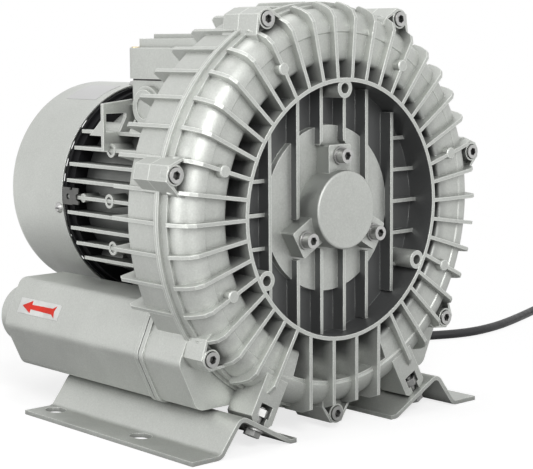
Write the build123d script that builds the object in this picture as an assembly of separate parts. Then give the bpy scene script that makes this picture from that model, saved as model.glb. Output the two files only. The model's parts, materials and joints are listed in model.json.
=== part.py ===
from build123d import *
import math
import os

# Single-stage side channel blower with a finned ring casing, a bladed impeller, a fan-cooled motor,
# two silencers with plain round ports, bent sheet feet and a cable with its plug.
# Millimetres. The front cover faces -Y, the motor lies towards +Y and +Z is up.
# Every piece is drawn about the shaft axis, with y = 0 at the front edge of the cover's fins,
# and is placed once, when it is written.

# Driving sizes of the ring casing
floor_gap = 4.0
parting_y = 28.0
channel_radius = 116.0
channel_half_width = 13.2
cover_channel_depth = 19.5
rear_channel_depth = 10.5
channel_bevel = 5.5
casing_wall = 4.3
drum_wall = 3.5
flange_rim = 4.2
flange_ridge = 2.2
flange_land = 6.2
land_rim = 2.0
shoulder_radius = 15.0
rear_bevel = 10.0
bulge_step = 0.7
floor_thickness = 6.0
gap_floor_thickness = 4.0
ring_gap = 10.8
ring_wall = 2.7
plateau_radius = 56.0
plateau_height = 4.5
stripper_angle = 25.0
stripper_step = 0.5

# Driving sizes of the fins, ribs and bosses
fin_count = 42
fin_thickness = 2.6
fin_overhang = 0.3
fin_corner = 6.0
bare_fin_positions = 6
rear_fin_depth = 40.0
rear_fin_low_angle = 26.0
ribs_across = 4
rib_thickness = 2.6
rib_depth = 10.0
rib_outer_share = 0.665
gusset_share = 0.26
gusset_depth = 5.6
cover_boss_radius = 6.5
cover_boss_bore = 3.4
cover_boss_inset = 4.3
cover_boss_depth = 16.0

# Driving sizes of the casing screws and their lugs
casing_screw_count = 7
casing_screw_offset = 2.3
lug_reach = 6.0
lug_tip_half = 5.0
lug_root_half = 12.5
lug_wall = 1.8
lug_wall_height = 18.5
lug_bay_height = 13.0
lug_boss_radius = 6.6
lug_boss_height = 19.0
head_clearance = 0.4
cover_lug_height = 14.3
rear_lug_height = 15.0
m6_radius = 3.0
m6_head_radius = 5.0
m6_head_height = 6.0
m6_key = 5.0
m5_radius = 2.5
m6_clearance = 0.3
thread_clearance = 0.02

# Driving sizes of the impeller and the shaft line
impeller_gap = 0.6
impeller_tip_gap = 0.8
impeller_overlap = 1.8
impeller_width = 26.0
impeller_web = 4.0
impeller_disc = 7.0
impeller_hub_radius = 24.0
blade_count = 40
blade_thickness = 2.0
shaft_radius = 12.0
journal_radius = 10.0
running_clearance = 0.05
key_half = 3.0
key_depth = 3.0
key_room = 0.2
bearing_outer_radius = 23.5
bearing_width = 14.0
bearing_outer_wall = 4.0
bearing_inner_wall = 3.6
seal_radius = 17.5
seal_width = 6.0

# Driving sizes of the bearing cap
cap_wall = 2.9
cap_front_wall = 2.7
cap_spring_room = 1.5
cap_bearing_inset = 0.6
cap_ear_half = 10.0
cap_ear_reach = 43.5
cap_ear_corner = 1.5
cap_room = 2.0
cap_screw_circle = 36.1
cap_ear_thickness = 12.0
washer_radius = 6.2
washer_thickness = 1.6

# Driving sizes of the motor
motor_bore = 60.0
motor_wall = 6.0
motor_fin_radius = 79.5
motor_fin_pitch = 11.7
motor_fin_thickness = 2.6
motor_fin_rows = 4
motor_length = 141.0
rear_disc_thickness = 9.0
stator_start = 31.0
stator_rear_room = 30.0
stator_inner_radius = 34.0
air_gap = 0.4
winding_length = 15.0
winding_inner = 38.0
winding_outer = 56.0
rotor_ring_length = 8.0
shield_thickness = 9.0
shield_radius = 76.5
shield_rim_thickness = 3.0
shield_boss_depth = 16.0
shield_bearing_inset = 2.0
motor_screw_circle = 73.0
shield_screw_circle = 66.0
motor_lug_radius = 7.5
motor_lug_length = 10.0
motor_thread_length = 5.0
shield_thread_length = 19.0
m5_across = 8.0
m5_head_height = 3.5

# Driving sizes of the cooling fan and the cowl
cowl_radius = 80.5
cowl_sheet = 1.2
cowl_gap = 0.4
cowl_length = 72.6
cowl_corner = 9.0
cowl_slot_count = 16
cowl_slot_width = 6.0
cowl_slot_inner = 28.0
cowl_slot_outer = 62.0
cowl_screw_count = 4
cowl_screw_turn = 6.5
cowl_screw_inset = 5.0
cowl_thread_radius = 2.0
bracket_half = 9.0
bracket_sheet = 2.0
bracket_foot = 12.5
bracket_shelf = 10.0
fan_gap = 6.0
fan_width = 22.0
fan_tip_gap = 9.0
fan_blade_count = 7
fan_blade_thickness = 2.4
fan_hub_radius = 14.0
fan_seat_radius = 8.5

# Driving sizes of the silencers and their necks
silencer_offset = 9.33
silencer_angle = 47.3
silencer_half_width = 36.0
silencer_half_height = 32.5
silencer_flat = 21.0
silencer_corner = 8.0
silencer_wall = 4.0
silencer_body_length = 162.0
silencer_shoulder = 16.0
silencer_flange_grow = 1.2
silencer_flange_thickness = 4.0
silencer_gasket_thickness = 1.0
silencer_ear_radius = 6.0
silencer_ear_offset = 4.2
silencer_ear_drop = 2.8
silencer_ear_length = 8.0
silencer_thread_length = 8.0
port_lip_radius = 22.5
port_lip_length = 12.0
port_lip_round = 3.0
port_lip_step = 1.5
port_mouth_step = 2.0
port_bore = 19.0
port_wall_length = 24.0
duct_radius = 12.5
foam_clearance = 0.3

# Driving sizes of the feet
foot_sheet = 3.0
foot_front = 0.5
foot_length = 189.5
foot_angle = 28.7
foot_seat_height = 16.0
foot_crest_gap = 0.2
foot_lug_width = 20.0
foot_lug_front = 4.0
foot_lug_chamfer = 3.0
foot_outer_flat = 23.5
foot_fall = 17.5
foot_inner_flat = 5.6
foot_bend_radius = 6.0
slot_inset = 16.0
slot_first_y = 75.0
slot_spacing = 100.0
slot_length = 17.0
slot_width = 12.0
foot_bolt_front_y = 8.5
foot_bolt_behind = 49.0
nut_across = 10.0
nut_height = 5.0
foot_head_height = 4.0
foot_washer_radius = 7.0
foot_nut_seat = 5.2
foot_bolt_length = 16.0
foot_thread_depth = 13.0

# Driving sizes of the terminal box
box_half_width = 54.0
box_behind = 15.8
box_depth = 89.0
box_sink = 8.5
box_base_height = 13.5
box_gasket = 1.2
box_lid_height = 22.0
box_step_height = 6.3
box_step_inset = 5.0
box_top_height = 3.2
box_top_inset = 9.0
box_wall = 3.0
box_corner = 7.0
pad_half_width = 50.0
pad_inset = 20.0
wing_reach = 77.0
wing_plate = 3.0
wing_post = 2.5
wing_arm = 9.7
wing_slope = 2.5
wing_window = 57.0
brace_reach = 15.0
entry_inset = 27.0
entry_drop = 5.0
entry_radius = 15.0
entry_bore = 10.0
entry_overhang = 3.0
entry_overlap = 11.5
entry_depth = 13.0
entry_plug_length = 12.0
capacitor_radius = 13.0
capacitor_length = 58.0

# Driving sizes of the cable and what is on it
cable_radius = 3.8
gland_hex = 24.0
gland_nut_length = 14.0
relief_length = 34.0
cable_straight = 20.0
coil_turn_radius = 41.5
plug_length = 42.0
plug_radius = 17.0
plug_sleeve = 42.0
pin_radius = 2.4
pin_length = 19.0
pin_spacing = 19.0
outside = 400.0

# The cable's points after its straight start, chosen by hand: x, y and the height above the floor
cable_points = (
    (155.0, 144.0, 203.0),
    (174.0, 152.0, 174.0),
    (180.0, 164.0, 136.0),
    (180.0, 178.0, 96.0),
    (184.0, 190.0, 56.0),
    (197.0, 198.0, 20.0),
    (232.0, 200.0, 3.8),
    (272.0, 181.0, 3.8),
    (310.0, 164.0, 3.8),
    (352.0, 166.5, 3.8),
    (398.0, 180.0, 3.8),
    (447.0, 197.5, 3.8),
    (497.0, 216.0, 3.8),
    (545.0, 237.0, 3.8),
)

# Worked out from the driving sizes
bulge_radius = channel_radius + channel_half_width + casing_wall
inner_wall_radius = channel_radius - channel_half_width - casing_wall
flange_radius = bulge_radius + flange_rim
land_radius = bulge_radius + land_rim
land_front = parting_y - flange_ridge - flange_land
bulge_front = parting_y - cover_channel_depth - casing_wall
ring_radius = inner_wall_radius - ring_gap
ring_bore = ring_radius - ring_wall
floor_front = parting_y - floor_thickness
gap_floor = parting_y - gap_floor_thickness
plateau_front = floor_front - plateau_height
screw_circle = flange_radius + casing_screw_offset
axis_height = screw_circle + lug_boss_radius + floor_gap
rib_pitch = ring_bore / ribs_across
rib_outer_x = ring_bore * rib_outer_share
gusset_pitch = ring_bore * gusset_share
stripper_step_radius = channel_radius - stripper_step
impeller_radius = channel_radius + channel_half_width + impeller_overlap
cavity_radius = impeller_radius + impeller_tip_gap
impeller_front = parting_y + impeller_gap
impeller_rear = impeller_front + impeller_width
cavity_rear = impeller_rear + impeller_gap
drum_radius = cavity_radius + drum_wall
rear_bulge = cavity_rear + rear_channel_depth + casing_wall
rear_face = cavity_rear + rear_disc_thickness
cap_radius = bearing_outer_radius + cap_wall
cap_bearing_front = plateau_front - bearing_width - cap_bearing_inset
cap_front = cap_bearing_front - cap_spring_room - cap_front_wall
cap_ear_front = plateau_front - cap_ear_thickness
motor_front = rear_face
motor_rear = motor_front + motor_length
motor_radius = motor_bore + motor_wall
stator_front = motor_front + stator_start
stator_rear = motor_rear - stator_rear_room
rotor_radius = stator_inner_radius - air_gap
shield_rear = motor_rear + shield_thickness
rear_bearing_front = shield_rear - bearing_width - shield_bearing_inset
fan_front = shield_rear + fan_gap
fan_radius = cowl_radius - cowl_sheet - fan_tip_gap
cowl_front = shield_rear + cowl_gap
cowl_rear = cowl_front + cowl_length
neck_front = parting_y
neck_rear = rear_bulge
silencer_circle = channel_radius + silencer_offset
silencer_x = silencer_circle * math.cos(math.radians(silencer_angle))
silencer_drop = silencer_circle * math.sin(math.radians(silencer_angle))
silencer_front = neck_rear + silencer_gasket_thickness
silencer_rear = silencer_front + silencer_body_length
port_root = silencer_rear + silencer_shoulder
port_rear = port_root + port_lip_length
foot_bolt_rear_y = silencer_front + foot_bolt_behind
foot_lug_reach = (axis_height - foot_seat_height) / math.cos(math.radians(foot_angle))
foot_lug_root = inner_wall_radius + 2 * channel_half_width - casing_wall
cap_screw_front = cap_ear_front - washer_thickness - m6_head_height
front_most_y = min(cap_screw_front, cap_front, 0.0)
middle_y = (front_most_y + cowl_rear) / 2
box_front_y = motor_front + box_behind
box_rear_y = box_front_y + box_depth
box_bottom = motor_fin_radius - box_sink
pad_front_y = box_front_y + pad_inset
pad_rear_y = box_rear_y
entry_y = box_rear_y - entry_inset
entry_reach = box_half_width + entry_overhang
entry_inner = box_half_width - entry_overlap
entry_z = box_bottom - entry_drop
box_seam = box_bottom + box_base_height
lid_bottom = box_seam + box_gasket
floor_z = -axis_height

corner_angles = (45, 135, 225, 315)
ear_angles = (90, 210, 330)
on_base = (Align.CENTER, Align.CENTER, Align.MIN)
meridian = Plane(origin=(0, 0, 0), x_dir=(0, 1, 0), z_dir=(1, 0, 0))
shaft_axis = Axis((0, 0, 0), (0, 1, 0))


def place(shape, theta):
    """Turn a shape drawn above the shaft to the angle theta, counted from +X towards +Z."""
    return Rot(0, 90 - theta, 0) * shape


def turned(points, corners=()):
    """Turn a closed outline of (y, radius) points about the shaft, with rounded corners."""
    face = Polygon(*points, align=None)
    for point, radius in corners:
        nearest = face.vertices().sort_by_distance((point[0], point[1], 0))[0]
        face = fillet(nearest, radius)
    return revolve(meridian * face, axis=shaft_axis)


def sector(points, middle_angle, sweep):
    """Turn an outline about the shaft through a part of a turn around middle_angle."""
    face = meridian * Polygon(*points, align=None)
    part = revolve(face, axis=shaft_axis, revolution_arc=sweep)
    return Rot(0, 90 - middle_angle - sweep / 2, 0) * part


def across_at(y):
    """The plane across the shaft at y, with x to the right and z up."""
    return Plane(origin=(0, y, 0), x_dir=(1, 0, 0), z_dir=(0, -1, 0))


def prism(face, y0, y1):
    """Draw a face across the shaft, x to the right and z up, and give it depth from y0 to y1."""
    return extrude(across_at(y1) * face, amount=y1 - y0, dir=(0, -1, 0))


def rod(radius, y0, y1, x=0, z=0):
    return prism(Pos(x, z) * Circle(radius), y0, y1)


def tube(outer, inner, y0, y1):
    return prism(Circle(outer) - Circle(inner), y0, y1)


def block(x0, x1, y0, y1, z0, z1):
    centre = ((x0 + x1) / 2, (y0 + y1) / 2, (z0 + z1) / 2)
    return Pos(*centre) * Box(abs(x1 - x0), abs(y1 - y0), abs(z1 - z0))


def radial_plate(points, thickness):
    """A flat plate through the shaft axis, drawn above it as (y, radius) points."""
    return extrude(meridian * Polygon(*points, align=None), amount=thickness / 2, both=True)


def mirrored(shape):
    return mirror(shape, about=Plane.YZ)


def socket_screw(head_front, head_radius, head_height, shank_radius, shank_length, key):
    """A cap screw along +Y with its head towards the front."""
    head = rod(head_radius, head_front, head_front + head_height)
    head -= prism(RegularPolygon(key / 2, 6, major_radius=False), head_front, head_front + head_height / 2)
    return head + rod(shank_radius, head_front + head_height, head_front + head_height + shank_length)


def hex_screw(seat, tip):
    """A small hexagon screw along the shaft, with its head towards the back."""
    head = prism(RegularPolygon(m5_across / 2, 6, major_radius=False), seat, seat + m5_head_height)
    return head + rod(m5_radius, tip, seat)


def screw_angles():
    return [270 + 360 / casing_screw_count * k for k in range(casing_screw_count)]


def fin_angles():
    """Fin positions counted from the bottom, leaving out those around the bottom itself."""
    step = 360 / fin_count
    first = bare_fin_positions / 2
    return [270 + step * (k + 0.5) for k in range(fin_count) if first <= k < fin_count - first]


def channel_cut(y_open, depth, middle_angle, sweep):
    """The ring channel as a cut: straight walls, bevelled towards a flat bottom."""
    inner = channel_radius - channel_half_width
    outer = channel_radius + channel_half_width
    bottom = y_open + depth
    bevel = math.copysign(channel_bevel, depth)
    points = (
        (y_open, inner),
        (y_open, outer),
        (bottom - bevel, outer),
        (bottom, outer - channel_bevel),
        (bottom, inner + channel_bevel),
        (bottom - bevel, inner),
    )
    return sector(points, middle_angle, sweep)


def screw_lug(y0, y1, inset=0):
    """The tapering lug that a casing screw passes through, drawn above the shaft."""
    reach = screw_circle + lug_reach - inset
    root = bulge_radius - 1.5 * casing_wall
    wide = lug_root_half - inset
    narrow = lug_tip_half - inset
    face = Polygon((-wide, root), (-wide, land_radius - 1), (-narrow, reach),
                   (narrow, reach), (wide, land_radius - 1), (wide, root), align=None)
    return prism(face, y0, y1)


def cover_lug():
    """A casing screw's lug on the cover: a bay between thin side walls, with a round boss in it."""
    lug = screw_lug(parting_y - lug_wall_height, parting_y)
    lug -= screw_lug(parting_y - lug_wall_height - 1, parting_y - lug_bay_height, lug_wall)
    boss = rod(lug_boss_radius, parting_y - lug_boss_height, parting_y - lug_bay_height + 1, 0, screw_circle)
    return lug + boss


def cover_body():
    points = (
        (parting_y, seal_radius),
        (parting_y, flange_radius),
        (parting_y - flange_ridge, flange_radius),
        (parting_y - flange_ridge, land_radius),
        (land_front, land_radius),
        (land_front, bulge_radius),
        (bulge_front, bulge_radius),
        (bulge_front, bulge_radius - shoulder_radius - 0.5),
        (bulge_front + bulge_step, bulge_radius - shoulder_radius - 1.2),
        (bulge_front + 2 * bulge_step, inner_wall_radius),
        (gap_floor, inner_wall_radius),
        (gap_floor, ring_radius),
        (0, ring_radius),
        (0, ring_bore),
        (floor_front, ring_bore),
        (floor_front, plateau_radius),
        (plateau_front, plateau_radius),
        (plateau_front, seal_radius),
    )
    corners = (
        ((bulge_front, bulge_radius), shoulder_radius),
        ((bulge_front + 2 * bulge_step, inner_wall_radius), 3.0),
    )
    return turned(points, corners)


def cover_fin():
    outer = flange_radius + fin_overhang
    points = (
        (0, ring_radius - ring_wall / 2),
        (0, bulge_radius - fin_corner),
        (fin_corner / 2, bulge_radius - 1),
        (1.5 * fin_corner, land_radius),
        (land_front - 2, outer),
        (land_front, outer - 1),
        (land_front, land_radius - 1),
        (gap_floor + 1, land_radius - 1),
        (gap_floor + 1, ring_radius - ring_wall / 2),
    )
    return radial_plate(points, fin_thickness)


def bottom_plates():
    """Upright plates under the ring, where the channel is closed by the stripper."""
    top = -math.sqrt(ring_radius ** 2 - (1.5 * rib_pitch) ** 2) + 1
    low = -math.sqrt(flange_radius ** 2 - (1.5 * rib_pitch) ** 2)
    face = Polygon((0, top), (0, low + 3), (8, low), (gap_floor + 1, low), (gap_floor + 1, top), align=None)
    plate = extrude(meridian * face, amount=rib_thickness / 2, both=True)
    whole = [Pos(rib_pitch * (k + 0.5), 0, 0) * plate for k in (-2, -1, 0, 1)]
    return [piece - rod(ring_radius - 0.5, -1, parting_y) for piece in whole]


def stripper_pocket():
    points = (
        (-1, ring_radius),
        (-1, stripper_step_radius),
        (floor_front, stripper_step_radius),
        (floor_front, ring_radius),
    )
    return sector(points, 270, 2 * (stripper_angle - 3))


def cover_ribs():
    """Upright ribs across the recess, set back from the ring, and gussets beside the outermost ones."""
    ribs = []
    reach = ring_bore + 1
    half_rib = rib_thickness / 2
    rib_front = floor_front - rib_depth
    gusset_front = floor_front - gusset_depth
    for x in (rib_pitch / 2, 1.5 * rib_pitch, rib_outer_x):
        half = math.sqrt(reach ** 2 - (x + rib_thickness) ** 2)
        ribs.append(block(x - half_rib, x + half_rib, rib_front, floor_front + 1, -half, half))
    for row in range(-2, 3):
        z = row * gusset_pitch
        wall = math.sqrt(reach ** 2 - z ** 2)
        ribs.append(block(rib_outer_x, wall, gusset_front, floor_front + 1, z - half_rib, z + half_rib))
    return ribs + [mirrored(rib) for rib in ribs]


def ear_outline(grow):
    """Outline of the bearing cap with its three square ears, drawn across the shaft."""
    face = Circle(cap_radius + grow)
    for angle in ear_angles:
        width = 2 * (cap_ear_half + grow)
        ear = RectangleRounded(width, cap_ear_reach + 2 * grow, cap_ear_corner + grow)
        face += Rot(0, 0, angle - 90) * (Pos(0, cap_ear_reach / 2) * ear)
    return face


def foot_lug():
    """The lug that a foot bolts to, drawn straight below the shaft, with its open nut pocket."""
    half = foot_lug_width / 2
    end = -foot_lug_reach
    low = end + foot_lug_chamfer
    narrow = half - foot_lug_chamfer
    face = Polygon((-half, -foot_lug_root), (-half, low), (-narrow, end),
                   (narrow, end), (half, low), (half, -foot_lug_root), align=None)
    body = prism(face, foot_lug_front, parting_y)
    pocket_top = -foot_lug_reach + foot_nut_seat + nut_height + 3.5
    pocket_rear = foot_bolt_front_y + 6.5
    pocket_half = nut_across / 2 + 0.3
    body -= block(-pocket_half, pocket_half, 1, pocket_rear, -foot_lug_reach + foot_nut_seat, pocket_top)
    slot_half = m6_radius + m6_clearance
    body -= block(-slot_half, slot_half, 1, foot_bolt_front_y, -foot_lug_reach - 1, pocket_top)
    return body - Pos(0, foot_bolt_front_y, -foot_lug_reach + 7) * Cylinder(slot_half, 20)


def casing_cover():
    body = cover_body() - stripper_pocket()
    fins = [place(cover_fin(), angle) for angle in fin_angles()]
    lugs = [place(cover_lug(), angle) for angle in screw_angles()]
    feet = [Rot(0, turn, 0) * foot_lug() for turn in (foot_angle, -foot_angle)]
    body = body + fins + lugs + feet + bottom_plates()
    ribs = cover_ribs()
    keep_clear = prism(ear_outline(cap_room), -1, plateau_front)
    body = body + [piece - keep_clear for piece in ribs]
    boss_circle = ring_bore - cover_boss_inset
    bosses = [place(rod(cover_boss_radius, 0.5, floor_front + 1, 0, boss_circle), a) for a in ear_angles]
    body = body + bosses
    holes = [place(rod(cover_boss_bore, 0, 0.5 + cover_boss_depth, 0, boss_circle), a) for a in ear_angles]
    screw_hole = rod(m6_radius + m6_clearance, 0, parting_y + 1, 0, screw_circle)
    holes += [place(screw_hole, a) for a in screw_angles()]
    seat = parting_y - cover_lug_height
    counterbore = rod(m6_head_radius + head_clearance, -2, seat, 0, screw_circle)
    holes += [place(counterbore, a) for a in screw_angles()]
    cap_thread = rod(m6_radius + thread_clearance, 0, parting_y - 1, 0, cap_screw_circle)
    holes += [place(cap_thread, a) for a in ear_angles]
    holes.append(channel_cut(parting_y, -cover_channel_depth, 90, 360 - 2 * stripper_angle))
    holes.append(rod(cap_radius + 0.1, -outside, plateau_front))
    holes.append(rod(seal_radius, plateau_front - 1, parting_y + 1))
    return body - holes


def silencer_face(grow, x=0.0):
    """The six-sided section of a silencer, with rounded corners."""
    half_width = silencer_half_width + grow
    half_height = silencer_half_height + grow
    flat = silencer_flat + grow / 2
    face = Polygon((half_width, 0), (flat, half_height), (-flat, half_height), (-half_width, 0),
                   (-flat, -half_height), (flat, -half_height), align=None)
    face = fillet(face.vertices(), silencer_corner)
    return Pos(x, -silencer_drop) * face


def silencer_ears(y0, y1):
    """Two ears on the side towards the middle, for the screws that hold the silencer."""
    ears = []
    for x, z in silencer_screw_places():
        ears.append(rod(silencer_ear_radius, y0, y1, x, z))
    return ears


def silencer_screw_places():
    beside = -silencer_x + silencer_half_width + silencer_ear_offset
    under = -silencer_drop - silencer_half_height - silencer_ear_drop
    return ((beside, -silencer_drop), (-silencer_x + silencer_flat + silencer_ear_offset, under))


def neck():
    """The stub on the back of the casing that carries a silencer, on the -X side."""
    body = prism(silencer_face(0, -silencer_x), neck_front, neck_rear)
    flange = silencer_face(silencer_flange_grow, -silencer_x)
    body += prism(flange, neck_rear - silencer_flange_thickness, neck_rear)
    return body + silencer_ears(neck_rear - silencer_thread_length - 1, neck_rear)


def duct():
    angle = math.atan2(silencer_drop, silencer_x)
    x = -channel_radius * math.cos(angle)
    z = -channel_radius * math.sin(angle)
    return rod(duct_radius, cavity_rear + 1, neck_rear + 1, x, z)


def rear_fin():
    outer = flange_radius + fin_overhang
    rear = parting_y + rear_fin_depth + 8
    points = (
        (parting_y + flange_ridge - 1, drum_radius - 2),
        (parting_y + flange_ridge - 1, outer),
        (rear - 3, outer),
        (rear, outer - 2),
        (rear - 3, channel_radius + 8),
        (rear - 12, channel_radius + 8),
    )
    return radial_plate(points, fin_thickness)


def rear_casing():
    points = (
        (parting_y, shaft_radius + 1),
        (parting_y, flange_radius),
        (parting_y + flange_ridge, flange_radius),
        (parting_y + flange_ridge, drum_radius),
        (rear_bulge - rear_bevel, drum_radius),
        (rear_bulge, drum_radius - rear_bevel),
        (rear_bulge, inner_wall_radius),
        (rear_face, inner_wall_radius),
        (rear_face, shaft_radius + 1),
    )
    corners = (
        ((rear_bulge - rear_bevel, drum_radius), casing_wall / 2),
        ((rear_bulge, drum_radius - rear_bevel), casing_wall),
        ((rear_bulge, inner_wall_radius), 4.0),
    )
    body = turned(points, corners)
    low = -rear_fin_low_angle
    high = 180 + rear_fin_low_angle
    angles = [a - 360 if a > 360 else a for a in fin_angles()]
    fins = [place(rear_fin(), a) for a in angles if low < a < high]
    lugs = [place(screw_lug(parting_y, parting_y + rear_lug_height), a) for a in screw_angles()]
    body = body + fins + lugs + [neck(), mirrored(neck())]
    cuts = [rod(cavity_radius, parting_y - 1, cavity_rear)]
    cuts.append(channel_cut(cavity_rear - 1, rear_channel_depth + 1, 90, 360 - 2 * stripper_angle))
    cuts.append(duct())
    cuts.append(mirrored(duct()))
    thread = m6_radius + thread_clearance
    casing_thread = rod(thread, parting_y - 1, parting_y + rear_lug_height + 1, 0, screw_circle)
    cuts += [place(casing_thread, a) for a in screw_angles()]
    thread = m5_radius + thread_clearance
    for x, z in silencer_screw_places():
        hole = rod(thread, neck_rear - silencer_thread_length - 1, neck_rear + 1, x, z)
        cuts += [hole, mirrored(hole)]
    motor_thread = rod(thread, rear_face - motor_thread_length - 1, rear_face + 1, 0, motor_screw_circle)
    cuts += [place(motor_thread, a) for a in corner_angles]
    cuts.append(rod(seal_radius + thread_clearance, rear_face - seal_width, rear_face + 1))
    return body - cuts


def casing_screws():
    seat = parting_y - cover_lug_height
    length = cover_lug_height + rear_lug_height - 2
    screw = socket_screw(seat - m6_head_height, m6_head_radius, m6_head_height, m6_radius, length, m6_key)
    return [place(Pos(0, 0, screw_circle) * screw, a) for a in screw_angles()]


def bearing_cap():
    body = rod(cap_radius, cap_front, plateau_front)
    body = fillet(body.edges().sort_by(Axis.Y)[0], 1.5)
    body += prism(ear_outline(0), cap_ear_front, plateau_front)
    body -= rod(bearing_outer_radius + thread_clearance, cap_front + cap_front_wall, plateau_front + 1)
    holes = [place(rod(m6_radius + m6_clearance, cap_front - 2, plateau_front + 1, 0, cap_screw_circle), a)
             for a in ear_angles]
    return body - holes


def cap_screws():
    """Cap screws with their captive washers."""
    washer = rod(washer_radius, cap_ear_front - washer_thickness, cap_ear_front)
    length = washer_thickness + cap_ear_thickness + parting_y - plateau_front - 2
    screw = socket_screw(cap_screw_front, m6_head_radius, m6_head_height, m6_radius, length, m6_key)
    return [place(Pos(0, 0, cap_screw_circle) * (screw + washer), a) for a in ear_angles]


def bearing_rings(front):
    """Outer ring, inner ring and the ring of balls and cage of a bearing, from its front face on."""
    rear = front + bearing_width
    outer = tube(bearing_outer_radius, bearing_outer_radius - bearing_outer_wall, front, rear)
    inner = tube(journal_radius + bearing_inner_wall, journal_radius + thread_clearance, front, rear)
    balls = tube(bearing_outer_radius - bearing_outer_wall - running_clearance,
                 journal_radius + bearing_inner_wall + running_clearance, front + 2, rear - 2)
    return outer, inner, balls


def shaft():
    front = cap_bearing_front + 0.5
    shoulder = plateau_front
    fan_end = fan_front + fan_width - 2
    body = rod(journal_radius, front, shoulder)
    body += rod(shaft_radius, shoulder, rear_bearing_front)
    body += rod(journal_radius, rear_bearing_front, shield_rear + 1)
    body += rod(fan_seat_radius, shield_rear + 1, fan_end)
    seat = shaft_radius - key_depth
    body -= block(-key_half, key_half, impeller_front + 3, impeller_rear - 3, seat, shaft_radius + 1)
    return body


def impeller_key():
    half = key_half - running_clearance
    low = shaft_radius - key_depth + running_clearance
    high = shaft_radius + key_depth - 2 * running_clearance - key_room
    return block(-half, half, impeller_front + 3.1, impeller_rear - 3.1, low, high)


def impeller():
    disc_front = (impeller_front + impeller_rear - impeller_disc) / 2
    web_front = (impeller_front + impeller_rear - impeller_web) / 2
    root = channel_radius - channel_half_width
    points = (
        (impeller_front, shaft_radius + thread_clearance),
        (impeller_front, impeller_hub_radius),
        (disc_front, impeller_hub_radius + 6),
        (disc_front, root - 6),
        (impeller_front, root - 3),
        (impeller_front, root),
        (web_front, root + 5),
        (web_front, impeller_radius),
        (web_front + impeller_web, impeller_radius),
        (web_front + impeller_web, root + 5),
        (impeller_rear, root),
        (impeller_rear, root - 3),
        (disc_front + impeller_disc, root - 6),
        (disc_front + impeller_disc, impeller_hub_radius + 6),
        (impeller_rear, impeller_hub_radius),
        (impeller_rear, shaft_radius + thread_clearance),
    )
    body = turned(points)
    blade_face = ((impeller_front, root - 2), (impeller_front, impeller_radius),
                  (impeller_rear, impeller_radius), (impeller_rear, root - 2))
    blade = radial_plate(blade_face, blade_thickness)
    body = body + [place(blade, 360 / blade_count * k) for k in range(blade_count)]
    keyway_top = shaft_radius + key_depth - key_room
    return body - block(-key_half, key_half, impeller_front - 1, impeller_rear + 1, 0, keyway_top)


def shaft_seal():
    return tube(seal_radius, shaft_radius + 0.3, rear_face - seal_width, rear_face)


def motor_housing():
    body = tube(motor_radius, motor_bore, motor_front, motor_rear)
    fins = []
    front = motor_front + 3
    rear = shield_rear - shield_rim_thickness - cowl_gap
    half_fin = motor_fin_thickness / 2
    for row in range(-motor_fin_rows, motor_fin_rows + 1):
        z = row * motor_fin_pitch
        half = math.sqrt(motor_fin_radius ** 2 - z ** 2)
        fins.append(block(-half, half, front, rear, z - half_fin, z + half_fin))
    for row in range(-2, 3):
        x = row * motor_fin_pitch
        half = math.sqrt(motor_fin_radius ** 2 - x ** 2)
        fins.append(block(x - half_fin, x + half_fin, front, rear, -half, 0))
    body = body + [fin - rod(motor_radius - 2, 0, rear + 1) for fin in fins]
    flange_lug = rod(motor_lug_radius, motor_front, motor_front + motor_lug_length, 0, motor_screw_circle)
    shield_lug = rod(motor_lug_radius - 1, motor_rear - 26, motor_rear, 0, shield_screw_circle)
    lugs = [place(lug, a) for lug in (flange_lug, shield_lug) for a in corner_angles]
    body = body + lugs + [side_bosses(), mirrored(side_bosses()), box_pad()]
    head_room = rod(6.0, motor_front + motor_lug_length, motor_front + 40, 0, motor_screw_circle)
    flange_hole = rod(m5_radius + m6_clearance, motor_front - 1, motor_front + 40, 0, motor_screw_circle)
    thread_front = motor_rear - shield_thread_length - 1
    shield_hole = rod(m5_radius + thread_clearance, thread_front, motor_rear + 1, 0, shield_screw_circle)
    cuts = [place(hole, a) for hole in (head_room, flange_hole, shield_hole) for a in corner_angles]
    cuts.append(rod(motor_bore, motor_front - 1, rear + 1))
    cuts.append(rod(shield_radius + m6_clearance, motor_rear, rear + 1))
    cuts.append(block(-15, 15, pad_front_y + 14, pad_rear_y - 25, 0, box_bottom + 1))
    return body - cuts


def side_bosses():
    """Round bosses on the -X side of the motor."""
    upper_y = pad_rear_y - 4
    places = ((3, 5.0, upper_y), (0, 5.0, pad_rear_y - 12), (0, 3.2, pad_rear_y + 21), (-3, 5.0, upper_y))
    bosses = []
    for row, radius, y in places:
        z = row * motor_fin_pitch
        outer = -math.sqrt(motor_fin_radius ** 2 - z ** 2) + 0.5
        length = 16.0
        bosses.append(Pos(outer + length / 2, y, z) * Rot(0, 90, 0) * Cylinder(radius, length))
    return Part() + bosses


def box_pad():
    """The raised seat under the terminal box, with an open cross frame behind it."""
    low = motor_fin_pitch * motor_fin_rows - motor_fin_thickness / 2
    half = math.sqrt(motor_fin_radius ** 2 - low ** 2) - 1
    outline = ((-half, low), (-pad_half_width, box_bottom), (pad_half_width, box_bottom), (half, low))
    pad = prism(Polygon(*outline, align=None), pad_front_y, pad_rear_y)
    pad -= block(-half, half, pad_rear_y - 14, pad_rear_y - wing_plate, low + 2, box_bottom - 4)
    pad -= entry_bosses(entry_radius + 0.1, wing_reach)
    side = side_wing(low)
    pad = pad + [side, mirrored(side)]
    return pad - rod(motor_bore + 3, -outside, outside)


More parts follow.
